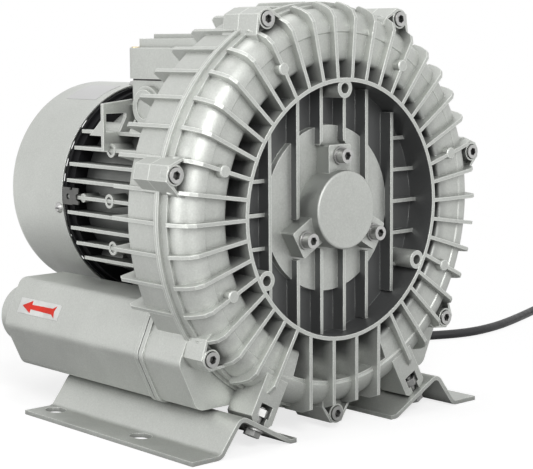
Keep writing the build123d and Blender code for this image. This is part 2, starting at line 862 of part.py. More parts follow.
def side_wing(low):
    """The frame on the -X side: a post, a sloping arm up to the pad and a small brace behind the post."""
    bottom = (motor_fin_rows - 1) * motor_fin_pitch
    front = pad_rear_y - wing_plate
    outline = ((-wing_reach, bottom), (-wing_reach, box_bottom - wing_slope),
               (-pad_half_width, box_bottom), (-pad_half_width, bottom))
    frame = prism(Polygon(*outline, align=None), front, pad_rear_y)
    window_low = motor_fin_rows * motor_fin_pitch + motor_fin_thickness / 2
    window_high = box_bottom - wing_arm
    frame -= block(wing_post - wing_reach, -wing_window, front - 1, pad_rear_y + 1, window_low, window_high)
    edge = pad_rear_y - 1
    brace = Polygon((edge, low), (edge + brace_reach, low), (edge, low + 0.8 * brace_reach), align=None)
    plate = extrude(meridian * brace, amount=wing_post / 2, both=True)
    return frame + Pos(wing_post / 2 - wing_reach, 0, 0) * plate


def entry_bosses(radius, reach=entry_reach):
    """Round cable entries on both sides of the terminal box."""
    length = reach - entry_inner
    boss = Pos(entry_inner + length / 2, entry_y, entry_z) * Rot(0, 90, 0) * Cylinder(radius, length)
    return boss + mirrored(boss)


def end_shield():
    """The motor's rear end shield with the seat of the rear bearing."""
    boss = bearing_outer_radius + 4.5
    front = shield_rear - shield_boss_depth
    body = rod(shield_radius, motor_rear, shield_rear) + rod(boss, front, shield_rear)
    body += rod(cowl_radius - cowl_sheet - cowl_gap, shield_rear - shield_rim_thickness, shield_rear)
    body += tube(motor_bore - 0.1, motor_bore - 4, motor_rear - 5, motor_rear)
    cuts = [rod(bearing_outer_radius + thread_clearance, rear_bearing_front, shield_rear + 1)]
    cuts.append(rod(shaft_radius + 1, front - 1, shield_rear))
    cuts += [place(rod(m5_radius + m6_clearance, motor_rear - 1, shield_rear + 1, 0, shield_screw_circle), a)
             for a in corner_angles]
    return body - cuts


def motor_screws(y_head, y_tip, circle):
    """Four hexagon screws with their heads towards the back."""
    screw = hex_screw(y_head, y_tip)
    return [place(Pos(0, 0, circle) * screw, a) for a in corner_angles]


def flange_screws():
    return motor_screws(motor_front + motor_lug_length, rear_face - motor_thread_length, motor_screw_circle)


def shield_screws():
    return motor_screws(shield_rear, motor_rear - shield_thread_length, shield_screw_circle)


def stator_core():
    return tube(motor_bore - 0.02, stator_inner_radius, stator_front, stator_rear)


def stator_windings():
    """The two end turns of the winding, as soft rings against the core."""
    points = ((0, winding_inner), (-winding_length + 3, winding_inner), (-winding_length, winding_inner + 4),
              (-winding_length, winding_outer - 4), (-winding_length + 3, winding_outer), (0, winding_outer))
    front = Pos(0, stator_front, 0) * turned(points)
    return [front, Pos(0, stator_rear, 0) * mirror(turned(points), about=Plane.XZ)]


def rotor_core():
    ring = rotor_radius - 3
    body = tube(rotor_radius, shaft_radius + thread_clearance, stator_front, stator_rear)
    body += tube(ring, ring - 9, stator_front - rotor_ring_length, stator_rear + rotor_ring_length)
    return body


def cooling_fan():
    front = fan_front
    disc = tube(fan_radius - 12, fan_seat_radius + thread_clearance, front, front + 2.5)
    hub = tube(fan_hub_radius, fan_seat_radius + thread_clearance, front, front + fan_width)
    rear = front + fan_width
    outline = (
        (front + 1, fan_hub_radius - 1),
        (front + 1, fan_radius - 12),
        (front + 6, fan_radius),
        (rear, fan_radius),
        (rear, fan_radius - 22),
        (front + 9, fan_hub_radius - 1),
    )
    blade = radial_plate(outline, fan_blade_thickness)
    return disc + hub + [place(blade, 360 / fan_blade_count * k) for k in range(fan_blade_count)]


def cowl_places():
    return [90 + cowl_screw_turn + 360 / cowl_screw_count * k for k in range(cowl_screw_count)]


def fan_cowl():
    """The sheet cowl over the fan, with a rounded rear edge and radial air slots."""
    inner = cowl_radius - cowl_sheet
    outer_points = ((cowl_front, 0), (cowl_front, cowl_radius), (cowl_rear, cowl_radius), (cowl_rear, 0))
    end = cowl_rear - cowl_sheet
    inner_points = ((cowl_front - 1, 0), (cowl_front - 1, inner), (end, inner), (end, 0))
    body = turned(outer_points, (((cowl_rear, cowl_radius), cowl_corner),))
    body -= turned(inner_points, (((end, inner), cowl_corner - cowl_sheet),))
    half_slot = cowl_slot_width / 2
    slot = block(-half_slot, half_slot, end - 1, cowl_rear + 1, cowl_slot_inner, cowl_slot_outer)
    cuts = [place(slot, 360 / cowl_slot_count * (k + 0.5)) for k in range(cowl_slot_count)]
    hole = Cylinder(cowl_thread_radius + m6_clearance, 10)
    cuts += [place(Pos(0, cowl_front + cowl_screw_inset, cowl_radius) * hole, a) for a in cowl_places()]
    return body - cuts


def cowl_brackets():
    """Bent sheet brackets on the end shield that the cowl is screwed to."""
    inner = cowl_radius - cowl_sheet
    foot_z = shield_radius - bracket_foot
    shelf_rear = shield_rear + bracket_shelf
    wall_rear = shield_rear + bracket_sheet
    opening = bracket_half - 2 * bracket_sheet
    bracket = block(-bracket_half, bracket_half, shield_rear, wall_rear, foot_z, inner)
    bracket += block(-bracket_half, bracket_half, shield_rear, shelf_rear, inner - 2.5 * bracket_sheet, inner)
    bracket -= block(-opening, opening, shield_rear - 1, wall_rear + 1, foot_z + 5, inner - 3 * bracket_sheet)
    bracket &= rod(inner - running_clearance, shield_rear, shelf_rear)
    hole = Cylinder(cowl_thread_radius + thread_clearance, bracket_shelf)
    bracket -= Pos(0, cowl_front + cowl_screw_inset, inner - bracket_sheet) * hole
    return [place(bracket, a) for a in cowl_places()]


def cowl_screws():
    """Button-head screws through the cowl, with a straight slot."""
    reach = 3.75 * cowl_thread_radius
    head = Cone(2.1 * cowl_thread_radius, 1.3 * cowl_thread_radius, 1.1 * cowl_thread_radius, align=on_base)
    head -= Pos(0, 0, 1.1 * cowl_thread_radius) * Box(1.2, 10, 1.6)
    screw = head + Pos(0, 0, -reach) * Cylinder(cowl_thread_radius, reach + 0.5, align=on_base)
    return [place(Pos(0, cowl_front + cowl_screw_inset, cowl_radius) * screw, a) for a in cowl_places()]


def box_outline(inset):
    """Outline of the terminal box seen from above."""
    width = 2 * (box_half_width - inset)
    depth = box_rear_y - box_front_y - 2 * inset
    corner = max(box_corner - inset / 2, 1.5)
    return Pos(0, (box_front_y + box_rear_y) / 2) * RectangleRounded(width, depth, corner)


def upright(face, z0, z1):
    return extrude(Plane.XY.offset(z0) * face, amount=z1 - z0, dir=(0, 0, 1))


def box_screw_places():
    x = box_half_width - 5.5
    return [(sx * x, y) for sx in (-1, 1) for y in (box_front_y + 5.5, box_rear_y - 5.5)]


def terminal_box_base():
    body = upright(box_outline(1.5), box_bottom, box_seam)
    body -= upright(box_outline(1.5 + box_wall + 8), box_bottom + box_wall, box_seam + 1)
    body -= block(-15, 15, pad_front_y + 14, pad_rear_y - 25, box_bottom - 1, box_seam)
    body += entry_bosses(entry_radius)
    bore = Rot(0, 90, 0) * Cylinder(entry_bore, entry_depth, align=(Align.CENTER, Align.CENTER, Align.MAX))
    body -= Pos(entry_reach, entry_y, entry_z) * bore
    body -= mirrored(Pos(entry_reach, entry_y, entry_z) * bore)
    holes = [Pos(x, y, box_seam) * Cylinder(2.0 + thread_clearance, 16) for x, y in box_screw_places()]
    return body - holes


def terminal_box_gasket():
    body = upright(box_outline(1.8), box_seam, lid_bottom)
    body -= upright(box_outline(1.5 + box_wall + 8), box_seam - 1, lid_bottom + 1)
    return body - [Pos(x, y, box_seam) * Cylinder(2.0 + m6_clearance, 16) for x, y in box_screw_places()]


def terminal_box_lid():
    """The stepped lid: a shoulder that carries the screws, a first step and a flat top."""
    shoulder = lid_bottom + box_lid_height
    step = shoulder + box_step_height
    top = step + box_top_height
    body = upright(box_outline(0), lid_bottom, shoulder)
    body += upright(box_outline(box_step_inset), shoulder, step)
    body += upright(box_outline(box_step_inset + box_top_inset), step, top)
    body -= upright(box_outline(box_wall + 8), lid_bottom - 1, shoulder - box_wall)
    body -= upright(box_outline(box_step_inset + box_wall + 3), lid_bottom - 1, step - box_wall)
    notch = 8.5
    for x, y in box_screw_places():
        corner = Pos(x, y, shoulder - 2 + 10) * Box(notch, notch, 20)
        body -= corner
    return body - [Pos(x, y, shoulder - 10) * Cylinder(2.0 + m6_clearance, 60) for x, y in box_screw_places()]


def lid_screws():
    seat = lid_bottom + box_lid_height - 2
    screw = Pos(0, 0, seat) * Cylinder(3.6, 2.6, align=on_base)
    screw += Pos(0, 0, box_seam - 6) * Cylinder(2.0, seat - box_seam + 6, align=on_base)
    screw -= Pos(0, 0, seat + 2.6) * Box(1.0, 8, 1.8)
    return [Pos(x, y, 0) * screw for x, y in box_screw_places()]


def terminal_block():
    z = box_bottom + box_wall
    x = 26
    body = block(x - 7, x + 7, box_front_y + 20, box_rear_y - 20, z, z + 12)
    studs = [Pos(x, (box_front_y + box_rear_y) / 2 + 15 * k, z + 15) * Box(5, 5, 6) for k in (-1, 0, 1)]
    return body + studs


def run_capacitor():
    z = box_bottom + box_wall + capacitor_radius
    middle = (box_front_y + box_rear_y) / 2
    body = Pos(-22, middle, z) * Rot(90, 0, 0) * Cylinder(capacitor_radius, capacitor_length)
    return body + Pos(-22, middle + capacitor_length / 2 + 1.5, z) * Box(capacitor_radius, 3, 10)


def blanking_plug():
    """The plug in the unused cable entry on the -X side, with a dished round head."""
    plug = Rot(0, -90, 0) * Cylinder(entry_bore - thread_clearance, entry_plug_length, align=on_base)
    head = Rot(0, -90, 0) * Cylinder(entry_bore + 2.5, 2.5, align=on_base)
    head -= Pos(-1.5, 0, 0) * Rot(0, -90, 0) * Cylinder(entry_bore - 2, 2, align=on_base)
    return Pos(-entry_reach, entry_y, entry_z) * (Pos(entry_plug_length, 0, 0) * plug + head)


def foot_points():
    """Corners of the bent foot's middle line on the +X side, as x and z from the shaft."""
    turn = math.radians(foot_angle)
    seat = foot_lug_reach + foot_sheet / 2
    flat_z = floor_z + foot_sheet / 2
    start_x = seat * math.sin(turn)
    start_z = -seat * math.cos(turn)
    low_x = start_x + (flat_z - start_z) / math.tan(turn)
    crest_z = -silencer_drop - silencer_half_height - foot_sheet / 2 - foot_crest_gap
    crest_x = start_x + (crest_z - start_z) / math.tan(turn)
    bend_x = crest_x + foot_fall
    return (low_x - foot_inner_flat, flat_z), (low_x, flat_z), (crest_x, crest_z), (bend_x, flat_z), (
        bend_x + foot_outer_flat, flat_z)


def foot_profile():
    """The bent foot sheet, with its bend radius kept within the sheet's straight runs."""
    points = foot_points()
    line = FilletPolyline(*points, radius=min(foot_bend_radius, *arc_limits(points)))
    return trace(line, line_width=foot_sheet)


def foot_bolt_places():
    return (foot_bolt_front_y, foot_bolt_rear_y)


def foot():
    body = prism(foot_profile(), foot_front, foot_front + foot_length)
    slot_x = foot_points()[-1][0] - slot_inset
    cuts = []
    for y in (slot_first_y, slot_first_y + slot_spacing):
        slot = Pos(slot_x, y) * Rot(0, 0, 90) * SlotOverall(slot_length, slot_width)
        cuts.append(upright(slot, floor_z - 1, floor_z + 2 * foot_sheet))
    for y in foot_bolt_places():
        hole = Pos(0, y, -foot_lug_reach) * Cylinder(m6_radius + m6_clearance, 20)
        cuts.append(Rot(0, -foot_angle, 0) * hole)
    return body - cuts


def foot_bolt(y):
    """A hexagon bolt from under the foot towards the shaft, on the +X side."""
    under = -foot_lug_reach - foot_sheet - washer_thickness
    head = upright(RegularPolygon(nut_across / 2, 6, major_radius=False), under - foot_head_height, under)
    shank = upright(Circle(m6_radius), under, under + foot_bolt_length)
    return Rot(0, -foot_angle, 0) * (Pos(0, y, 0) * (head + shank))


def foot_washer(y):
    ring = Circle(foot_washer_radius) - Circle(m6_radius + m6_clearance)
    top = -foot_lug_reach - foot_sheet
    flat = upright(ring, top - washer_thickness, top)
    return Rot(0, -foot_angle, 0) * (Pos(0, y, 0) * flat)


def foot_nut():
    outline = RegularPolygon(nut_across / 2, 6, major_radius=False, rotation=30)
    ring = outline - Circle(m6_radius + thread_clearance)
    seat = -foot_lug_reach + foot_nut_seat
    nut = upright(ring, seat, seat + nut_height)
    return Rot(0, -foot_angle, 0) * (Pos(0, foot_bolt_front_y, 0) * nut)


def silencer():
    """The silencer housing on the -X side: a six-sided shell, a shoulder and a round lip."""
    body = prism(silencer_face(0, -silencer_x), silencer_front, silencer_rear)
    flange_rear = silencer_front + silencer_flange_thickness
    body += prism(silencer_face(silencer_flange_grow, -silencer_x), silencer_front, flange_rear)
    large = across_at(silencer_rear) * silencer_face(-0.01, -silencer_x)
    small = across_at(port_root) * Pos(-silencer_x, -silencer_drop) * Circle(port_lip_radius + port_lip_step)
    body += loft([large, small])
    lip = rod(port_lip_radius, port_root - 1, port_rear, -silencer_x, -silencer_drop)
    lip = fillet(lip.edges().sort_by(Axis.Y)[-1], port_lip_round)
    lug_top = -foot_lug_reach + foot_thread_depth + 11
    lug = block(-8, 8, foot_bolt_rear_y - 9, foot_bolt_rear_y + 9, -foot_lug_reach, lug_top)
    ears = silencer_ears(silencer_front, silencer_front + silencer_ear_length)
    body = body + [lip, Rot(0, foot_angle, 0) * lug] + ears
    inside = silencer_face(-silencer_wall, -silencer_x)
    cuts = [prism(inside, silencer_front - 1, silencer_rear - silencer_wall)]
    cuts.append(rod(port_bore, port_rear - port_wall_length, port_rear + 1, -silencer_x, -silencer_drop))
    mouth = port_bore - port_mouth_step
    cuts.append(rod(mouth, silencer_rear - silencer_wall - 1, port_rear, -silencer_x, -silencer_drop))
    ear_hole = (m5_radius + m6_clearance, silencer_front - 1, silencer_front + silencer_ear_length + 1)
    cuts += [rod(*ear_hole, x, z) for x, z in silencer_screw_places()]
    thread = Pos(0, foot_bolt_rear_y) * Circle(m6_radius + thread_clearance)
    hole = upright(thread, -foot_lug_reach - 1, -foot_lug_reach + foot_thread_depth)
    return body - cuts - Rot(0, foot_angle, 0) * hole


def silencer_gasket():
    outer = prism(silencer_face(silencer_flange_grow - 0.4, -silencer_x), neck_rear, silencer_front)
    inner = prism(silencer_face(-silencer_wall, -silencer_x), neck_rear - 1, silencer_front + 1)
    return outer - inner


def silencer_foam():
    outline = silencer_face(-silencer_wall - foam_clearance, -silencer_x)
    body = prism(outline, silencer_front + 1, silencer_rear - silencer_wall - 1)
    return body - rod(port_bore, silencer_front, silencer_rear, -silencer_x, -silencer_drop)


def silencer_screws():
    screw = hex_screw(silencer_front + silencer_ear_length, neck_rear - silencer_thread_length)
    return [Pos(side * x, 0, z) * screw for side in (-1, 1) for x, z in silencer_screw_places()]


def along_x(face, x0, x1):
    """Give depth along +X to a face drawn across the cable entry's axis."""
    across = Plane(origin=(x0, entry_y, entry_z), x_dir=(0, 1, 0), z_dir=(1, 0, 0))
    return extrude(across * face, amount=x1 - x0, dir=(1, 0, 0))


def cable_gland():
    """The screwed gland body in the cable entry on the +X side, with its hexagon nut."""
    nut_end = entry_reach + gland_nut_length
    body = along_x(Circle(entry_bore - thread_clearance), entry_reach - entry_plug_length, entry_reach)
    body += along_x(RegularPolygon(gland_hex / 2, 6, major_radius=False), entry_reach, entry_reach + 5)
    body += along_x(RegularPolygon(gland_hex / 2 - 1, 6, major_radius=False), entry_reach + 6, nut_end)
    return body + along_x(Circle(gland_hex / 2 - 2), entry_reach, nut_end)


def strain_relief():
    """The tapered sleeve between the gland and the free cable."""
    start = entry_reach + gland_nut_length
    cone = Cone(7.5, cable_radius + 1.2, relief_length, align=on_base)
    return Pos(start, entry_y, entry_z) * Rot(0, 90, 0) * cone


def cable_route():
    """The free cable's points, from the sleeve's end to the coil, about the shaft axis."""
    start_x = entry_reach + gland_nut_length + relief_length
    start = [(start_x, entry_y, entry_z), (start_x + cable_straight, entry_y, entry_z)]
    return start + [(x, y, floor_z + height) for x, y, height in cable_points]


def arc_limits(points):
    """The largest bend at each corner of a line that leaves a straight run between its bends."""
    radii = []
    for a, b, c in zip(points, points[1:], points[2:]):
        first = Vector(*b) - Vector(*a)
        second = Vector(*c) - Vector(*b)
        half_turn = math.radians(first.get_angle(second)) / 2
        radii.append(0.45 * min(first.length, second.length) / math.tan(half_turn))
    return radii


def power_cable():
    """The free cable as straight runs joined by tangent arcs."""
    points = cable_route()
    path = FilletPolyline(*points, radius=arc_limits(points))
    section = Plane(origin=path @ 0, z_dir=path % 0) * Circle(cable_radius)
    return sweep(section, path=path)


def coil_centre():
    """Centre of the coil, which the cable meets at the outside of its lowest layer."""
    points = cable_route()
    run = (Vector(*points[-1]) - Vector(*points[-2])).normalized()
    reach = coil_turn_radius + 2 * cable_radius
    return points[-1][0] + reach * run.Y, points[-1][1] - reach * run.X


def cable_coil():
    """The put-away length as one ring: three turns wide below and two above."""
    pitch = 2 * cable_radius
    low = 1.5 * pitch
    high = 1.0 * pitch
    face = Polygon((coil_turn_radius - low, 0), (coil_turn_radius + low, 0), (coil_turn_radius + low, pitch),
                   (coil_turn_radius + high, 2 * pitch), (coil_turn_radius - high, 2 * pitch),
                   (coil_turn_radius - low, pitch), align=None)
    ring = revolve(Plane.XZ * face, axis=Axis.Z)
    x, y = coil_centre()
    return Pos(x, y, floor_z) * ring


def plug_start():
    """Where the cable leaves the coil's upper layer and runs into the plug."""
    x, y = coil_centre()
    return x + coil_turn_radius, y, floor_z + plug_radius


def plug_body():
    """The moulded plug lying beside the coil, with its sleeve against the coil."""
    x, y, z = plug_start()
    towards = Rot(90, 0, 0)
    sleeve = Cone(cable_radius + 1.0, 7.0, plug_sleeve, align=on_base)
    half = plug_length / 2
    taper = Pos(0, 0, plug_sleeve) * Cone(10.0, plug_radius, half, align=on_base)
    face = Pos(0, 0, plug_sleeve + half) * Cylinder(plug_radius, half, align=on_base)
    return Pos(x, y - 4, z) * towards * (sleeve + taper + face)


def plug_pins():
    x, y, z = plug_start()
    front = y - 4 - plug_sleeve - plug_length
    pins = []
    for side in (-1, 1):
        centre = (x + side * pin_spacing / 2, front - pin_length / 2, z)
        pins.append(Pos(*centre) * Rot(90, 0, 0) * Cylinder(pin_radius, pin_length))
    return pins


def both_sides(name_left, name_right, shape):
    return {name_left: shape, name_right: mirrored(shape)}


def make_nodes():
    """Every piece by name, drawn about the shaft axis."""
    nodes = {
        "casing_cover": casing_cover(),
        "rear_casing": rear_casing(),
        "casing_screws": casing_screws(),
        "bearing_cap": bearing_cap(),
        "bearing_cap_screws": cap_screws(),
        "shaft": shaft(),
        "impeller": impeller(),
        "impeller_key": impeller_key(),
        "shaft_seal": shaft_seal(),
        "motor_housing": motor_housing(),
        "motor_flange_screws": flange_screws(),
        "stator_core": stator_core(),
        "stator_windings": stator_windings(),
        "rotor_core": rotor_core(),
        "end_shield": end_shield(),
        "end_shield_screws": shield_screws(),
        "cooling_fan": cooling_fan(),
        "fan_cowl": fan_cowl(),
        "cowl_brackets": cowl_brackets(),
        "cowl_screws": cowl_screws(),
        "terminal_box_base": terminal_box_base(),
        "terminal_box_gasket": terminal_box_gasket(),
        "terminal_box_lid": terminal_box_lid(),
        "terminal_box_screws": lid_screws(),
        "terminal_block": terminal_block(),
        "run_capacitor": run_capacitor(),
        "blanking_plug": blanking_plug(),
        "cable_gland": cable_gland(),
        "strain_relief": strain_relief(),
        "power_cable": power_cable(),
        "cable_coil": cable_coil(),
        "plug_body": plug_body(),
        "plug_pins": plug_pins(),
        "silencer_screws": silencer_screws(),
        "foot_nuts": [foot_nut(), mirrored(foot_nut())],
    }
    for side, front in (("front", cap_bearing_front), ("rear", rear_bearing_front)):
        outer, inner, balls = bearing_rings(front)
        nodes[side + "_bearing_outer_ring"] = outer
        nodes[side + "_bearing_inner_ring"] = inner
        nodes[side + "_bearing_balls"] = balls
    nodes.update(both_sides("outlet_silencer", "inlet_silencer", silencer()))
    nodes.update(both_sides("outlet_gasket", "inlet_gasket", silencer_gasket()))
    nodes.update(both_sides("outlet_foam", "inlet_foam", silencer_foam()))
    nodes.update(both_sides("right_foot", "left_foot", foot()))
    bolts = [foot_bolt(y) for y in foot_bolt_places()]
    washers = [foot_washer(y) for y in foot_bolt_places()]
    nodes["foot_bolts"] = bolts + [mirrored(bolt) for bolt in bolts]
    nodes["foot_washers"] = washers + [mirrored(washer) for washer in washers]
    return nodes


def write_node(name, shape):
    """Stand the piece on the floor, with the origin under the middle of the machine."""
    pieces = shape if isinstance(shape, list) else [shape]
    solids = [solid for piece in pieces for solid in piece.solids()]
    moved = Pos(0, -middle_y, axis_height) * Compound(children=solids)
    export_step(moved, os.path.join("parts", name + ".step"))


if __name__ == "__main__":
    os.makedirs("parts", exist_ok=True)
    for node_name, node_shape in make_nodes().items():
        write_node(node_name, node_shape)
    route = cable_route()
    print("cable arc radii", [round(radius, 1) for radius in arc_limits(route)])
    print("middle y", round(middle_y, 3), "coil centre", coil_centre())
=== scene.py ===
import json
import math

import bmesh
import bpy
from mathutils import Matrix, Vector


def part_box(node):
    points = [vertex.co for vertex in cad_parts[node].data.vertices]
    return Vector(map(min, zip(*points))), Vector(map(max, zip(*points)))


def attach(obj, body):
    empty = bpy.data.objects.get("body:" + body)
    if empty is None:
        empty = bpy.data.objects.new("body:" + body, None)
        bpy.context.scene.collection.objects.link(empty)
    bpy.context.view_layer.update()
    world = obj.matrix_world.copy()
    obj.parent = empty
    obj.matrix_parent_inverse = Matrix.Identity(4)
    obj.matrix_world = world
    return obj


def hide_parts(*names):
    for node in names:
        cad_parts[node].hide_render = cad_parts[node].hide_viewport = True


# Looks of the side channel blower: camera, light, materials, the free cable and its coil,
# and the small trim. Everything is in metres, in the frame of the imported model.

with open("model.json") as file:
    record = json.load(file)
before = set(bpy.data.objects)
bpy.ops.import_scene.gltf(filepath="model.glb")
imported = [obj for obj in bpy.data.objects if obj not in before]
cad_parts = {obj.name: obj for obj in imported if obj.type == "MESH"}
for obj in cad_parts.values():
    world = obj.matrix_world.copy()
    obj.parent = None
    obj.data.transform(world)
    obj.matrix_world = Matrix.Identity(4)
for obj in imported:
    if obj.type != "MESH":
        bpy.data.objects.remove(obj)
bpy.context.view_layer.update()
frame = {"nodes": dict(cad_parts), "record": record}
nodes = frame["nodes"]
scene = bpy.context.scene

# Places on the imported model. AXIS_HEIGHT is the shaft's height, FRONT_Y the front of the cover's fins.
# Depths are measured back from FRONT_Y, radii from the shaft's axis.
AXIS_HEIGHT = 0.1506
FRONT_Y = -0.14255
FLOOR = 0.0
RECESS_RADIUS = 0.0856
RING_RADIUS = 0.0873
PLATEAU_RADIUS = 0.0563
PLATEAU_DEPTH = 0.0212
COVER_BOSS_CIRCLE = 0.0807
COVER_BOSS_CLEAR = 0.0068
COVER_BOSS_TURNS = (90, 210, 330)
MOTOR_FIN_PITCH = 0.0117
MOTOR_FIN_ROOT = 0.0690
MOTOR_FIN_TIP = 0.0780
BOX_SEAT_HEIGHT = 0.0455
# The fin row, the depth and the outer face of the large bosses of the motor
MOTOR_BOSSES = ((3, 0.165, 0.07083), (0, 0.157, 0.07900), (-3, 0.165, 0.07083))
COWL_RADIUS = 0.0805
SILENCER_X = 0.085
SILENCER_Z = AXIS_HEIGHT - 0.0921
SILENCER_CORNER = 0.036
SILENCER_TOP_X = 0.021
SILENCER_TOP_Z = 0.0325


# Camera at the photograph's place

CAMERA_PLACE = (-0.72836, -0.88564, 0.26616)
CAMERA_TURN = -41.5175
CAMERA_DROP = 7.2209
CAMERA_ROLL = -0.4006
CAMERA_LENS = 106.09

camera_data = bpy.data.cameras.new("camera")
camera = bpy.data.objects.new("camera", camera_data)
scene.collection.objects.link(camera)
turn = Matrix.Rotation(math.radians(CAMERA_TURN), 4, "Z")
tilt = Matrix.Rotation(math.radians(90 - CAMERA_DROP), 4, "X")
roll = Matrix.Rotation(math.radians(CAMERA_ROLL), 4, "Z")
place = Matrix.Translation(Vector(CAMERA_PLACE))
camera.matrix_world = place @ turn @ tilt @ roll
camera_data.sensor_width = 36.0
camera_data.lens = CAMERA_LENS
camera_data.clip_start = 0.05
camera_data.clip_end = 50.0
scene.camera = camera
scene.view_settings.view_transform = "Standard"


# The cable: the route's points, then the turns of the coil and the run into the plug

CABLE_RADIUS = 0.0038
ROUTE = (
    (0.105, -0.00055, 0.2166),
    (0.125, -0.00055, 0.2166),
    (0.155, 0.00145, 0.203),
    (0.174, 0.00945, 0.174),
    (0.180, 0.02145, 0.136),
    (0.180, 0.03545, 0.096),
    (0.184, 0.04745, 0.056),
    (0.197, 0.05545, 0.020),
    (0.232, 0.05745, 0.0038),
    (0.272, 0.03845, 0.0038),
    (0.310, 0.02145, 0.0038),
    (0.352, 0.02395, 0.0038),
    (0.398, 0.03745, 0.0038),
    (0.447, 0.05495, 0.0038),
    (0.497, 0.07345, 0.0038),
    (0.545, 0.09445, 0.0038),
)
COIL_X = 0.56468
COIL_Y = 0.04947
COIL_RADIUS = 0.0415
COIL_POINTS_PER_TURN = 18
PLUG_Z = 0.017


def coil_points():
    """Turns of the coil, clockwise seen from above: three tracks on the floor, then one above."""
    start_x, start_y, start_z = ROUTE[-1]
    start = math.degrees(math.atan2(start_y - COIL_Y, start_x - COIL_X))
    total = start + 4 * 360
    pitch = 2 * CABLE_RADIUS
    tracks = (COIL_RADIUS + pitch, COIL_RADIUS, COIL_RADIUS - pitch,
              COIL_RADIUS - pitch / 2, COIL_RADIUS)
    heights = (0.0, 0.0, 0.0, 0.0078, 0.0090)
    count = int(total / 360 * COIL_POINTS_PER_TURN)
    points = []
    for k in range(1, count + 1):
        done = total * k / count
        lap = int(done // 360)
        within = done - 360 * lap
        shift = min(max((within - 300) / 60, 0.0), 1.0)
        rise = min(max((within - 250) / 70, 0.0), 1.0)
        nxt = min(lap + 1, len(tracks) - 1)
        radius = tracks[lap] + (tracks[nxt] - tracks[lap]) * shift
        height = heights[lap] + (heights[nxt] - heights[lap]) * rise
        angle = math.radians(start - done)
        x = COIL_X + radius * math.cos(angle)
        y = COIL_Y + radius * math.sin(angle)
        points.append((x, y, start_z + height))
    return points


def nurbs_curve(name, points, radius):
    """A round tube along one smooth spline with the given control points."""
    data = bpy.data.curves.new(name, "CURVE")
    data.dimensions = "3D"
    spline = data.splines.new("NURBS")
    spline.points.add(len(points) - 1)
    for target, point in zip(spline.points, points):
        target.co = (point[0], point[1], point[2], 1.0)
    spline.order_u = 3
    spline.use_endpoint_u = True
    spline.resolution_u = 8
    data.bevel_depth = radius
    data.bevel_resolution = 6
    data.use_fill_caps = True
    piece = bpy.data.objects.new(name, data)
    scene.collection.objects.link(piece)
    return piece


plug_lead = [
    (COIL_X + COIL_RADIUS, COIL_Y - 0.004, PLUG_Z),
    (COIL_X + COIL_RADIUS, COIL_Y - 0.016, PLUG_Z),
]
cable = nurbs_curve("cable_line", list(ROUTE) + coil_points()[:-1] + plug_lead, CABLE_RADIUS)


# Node helpers for the materials

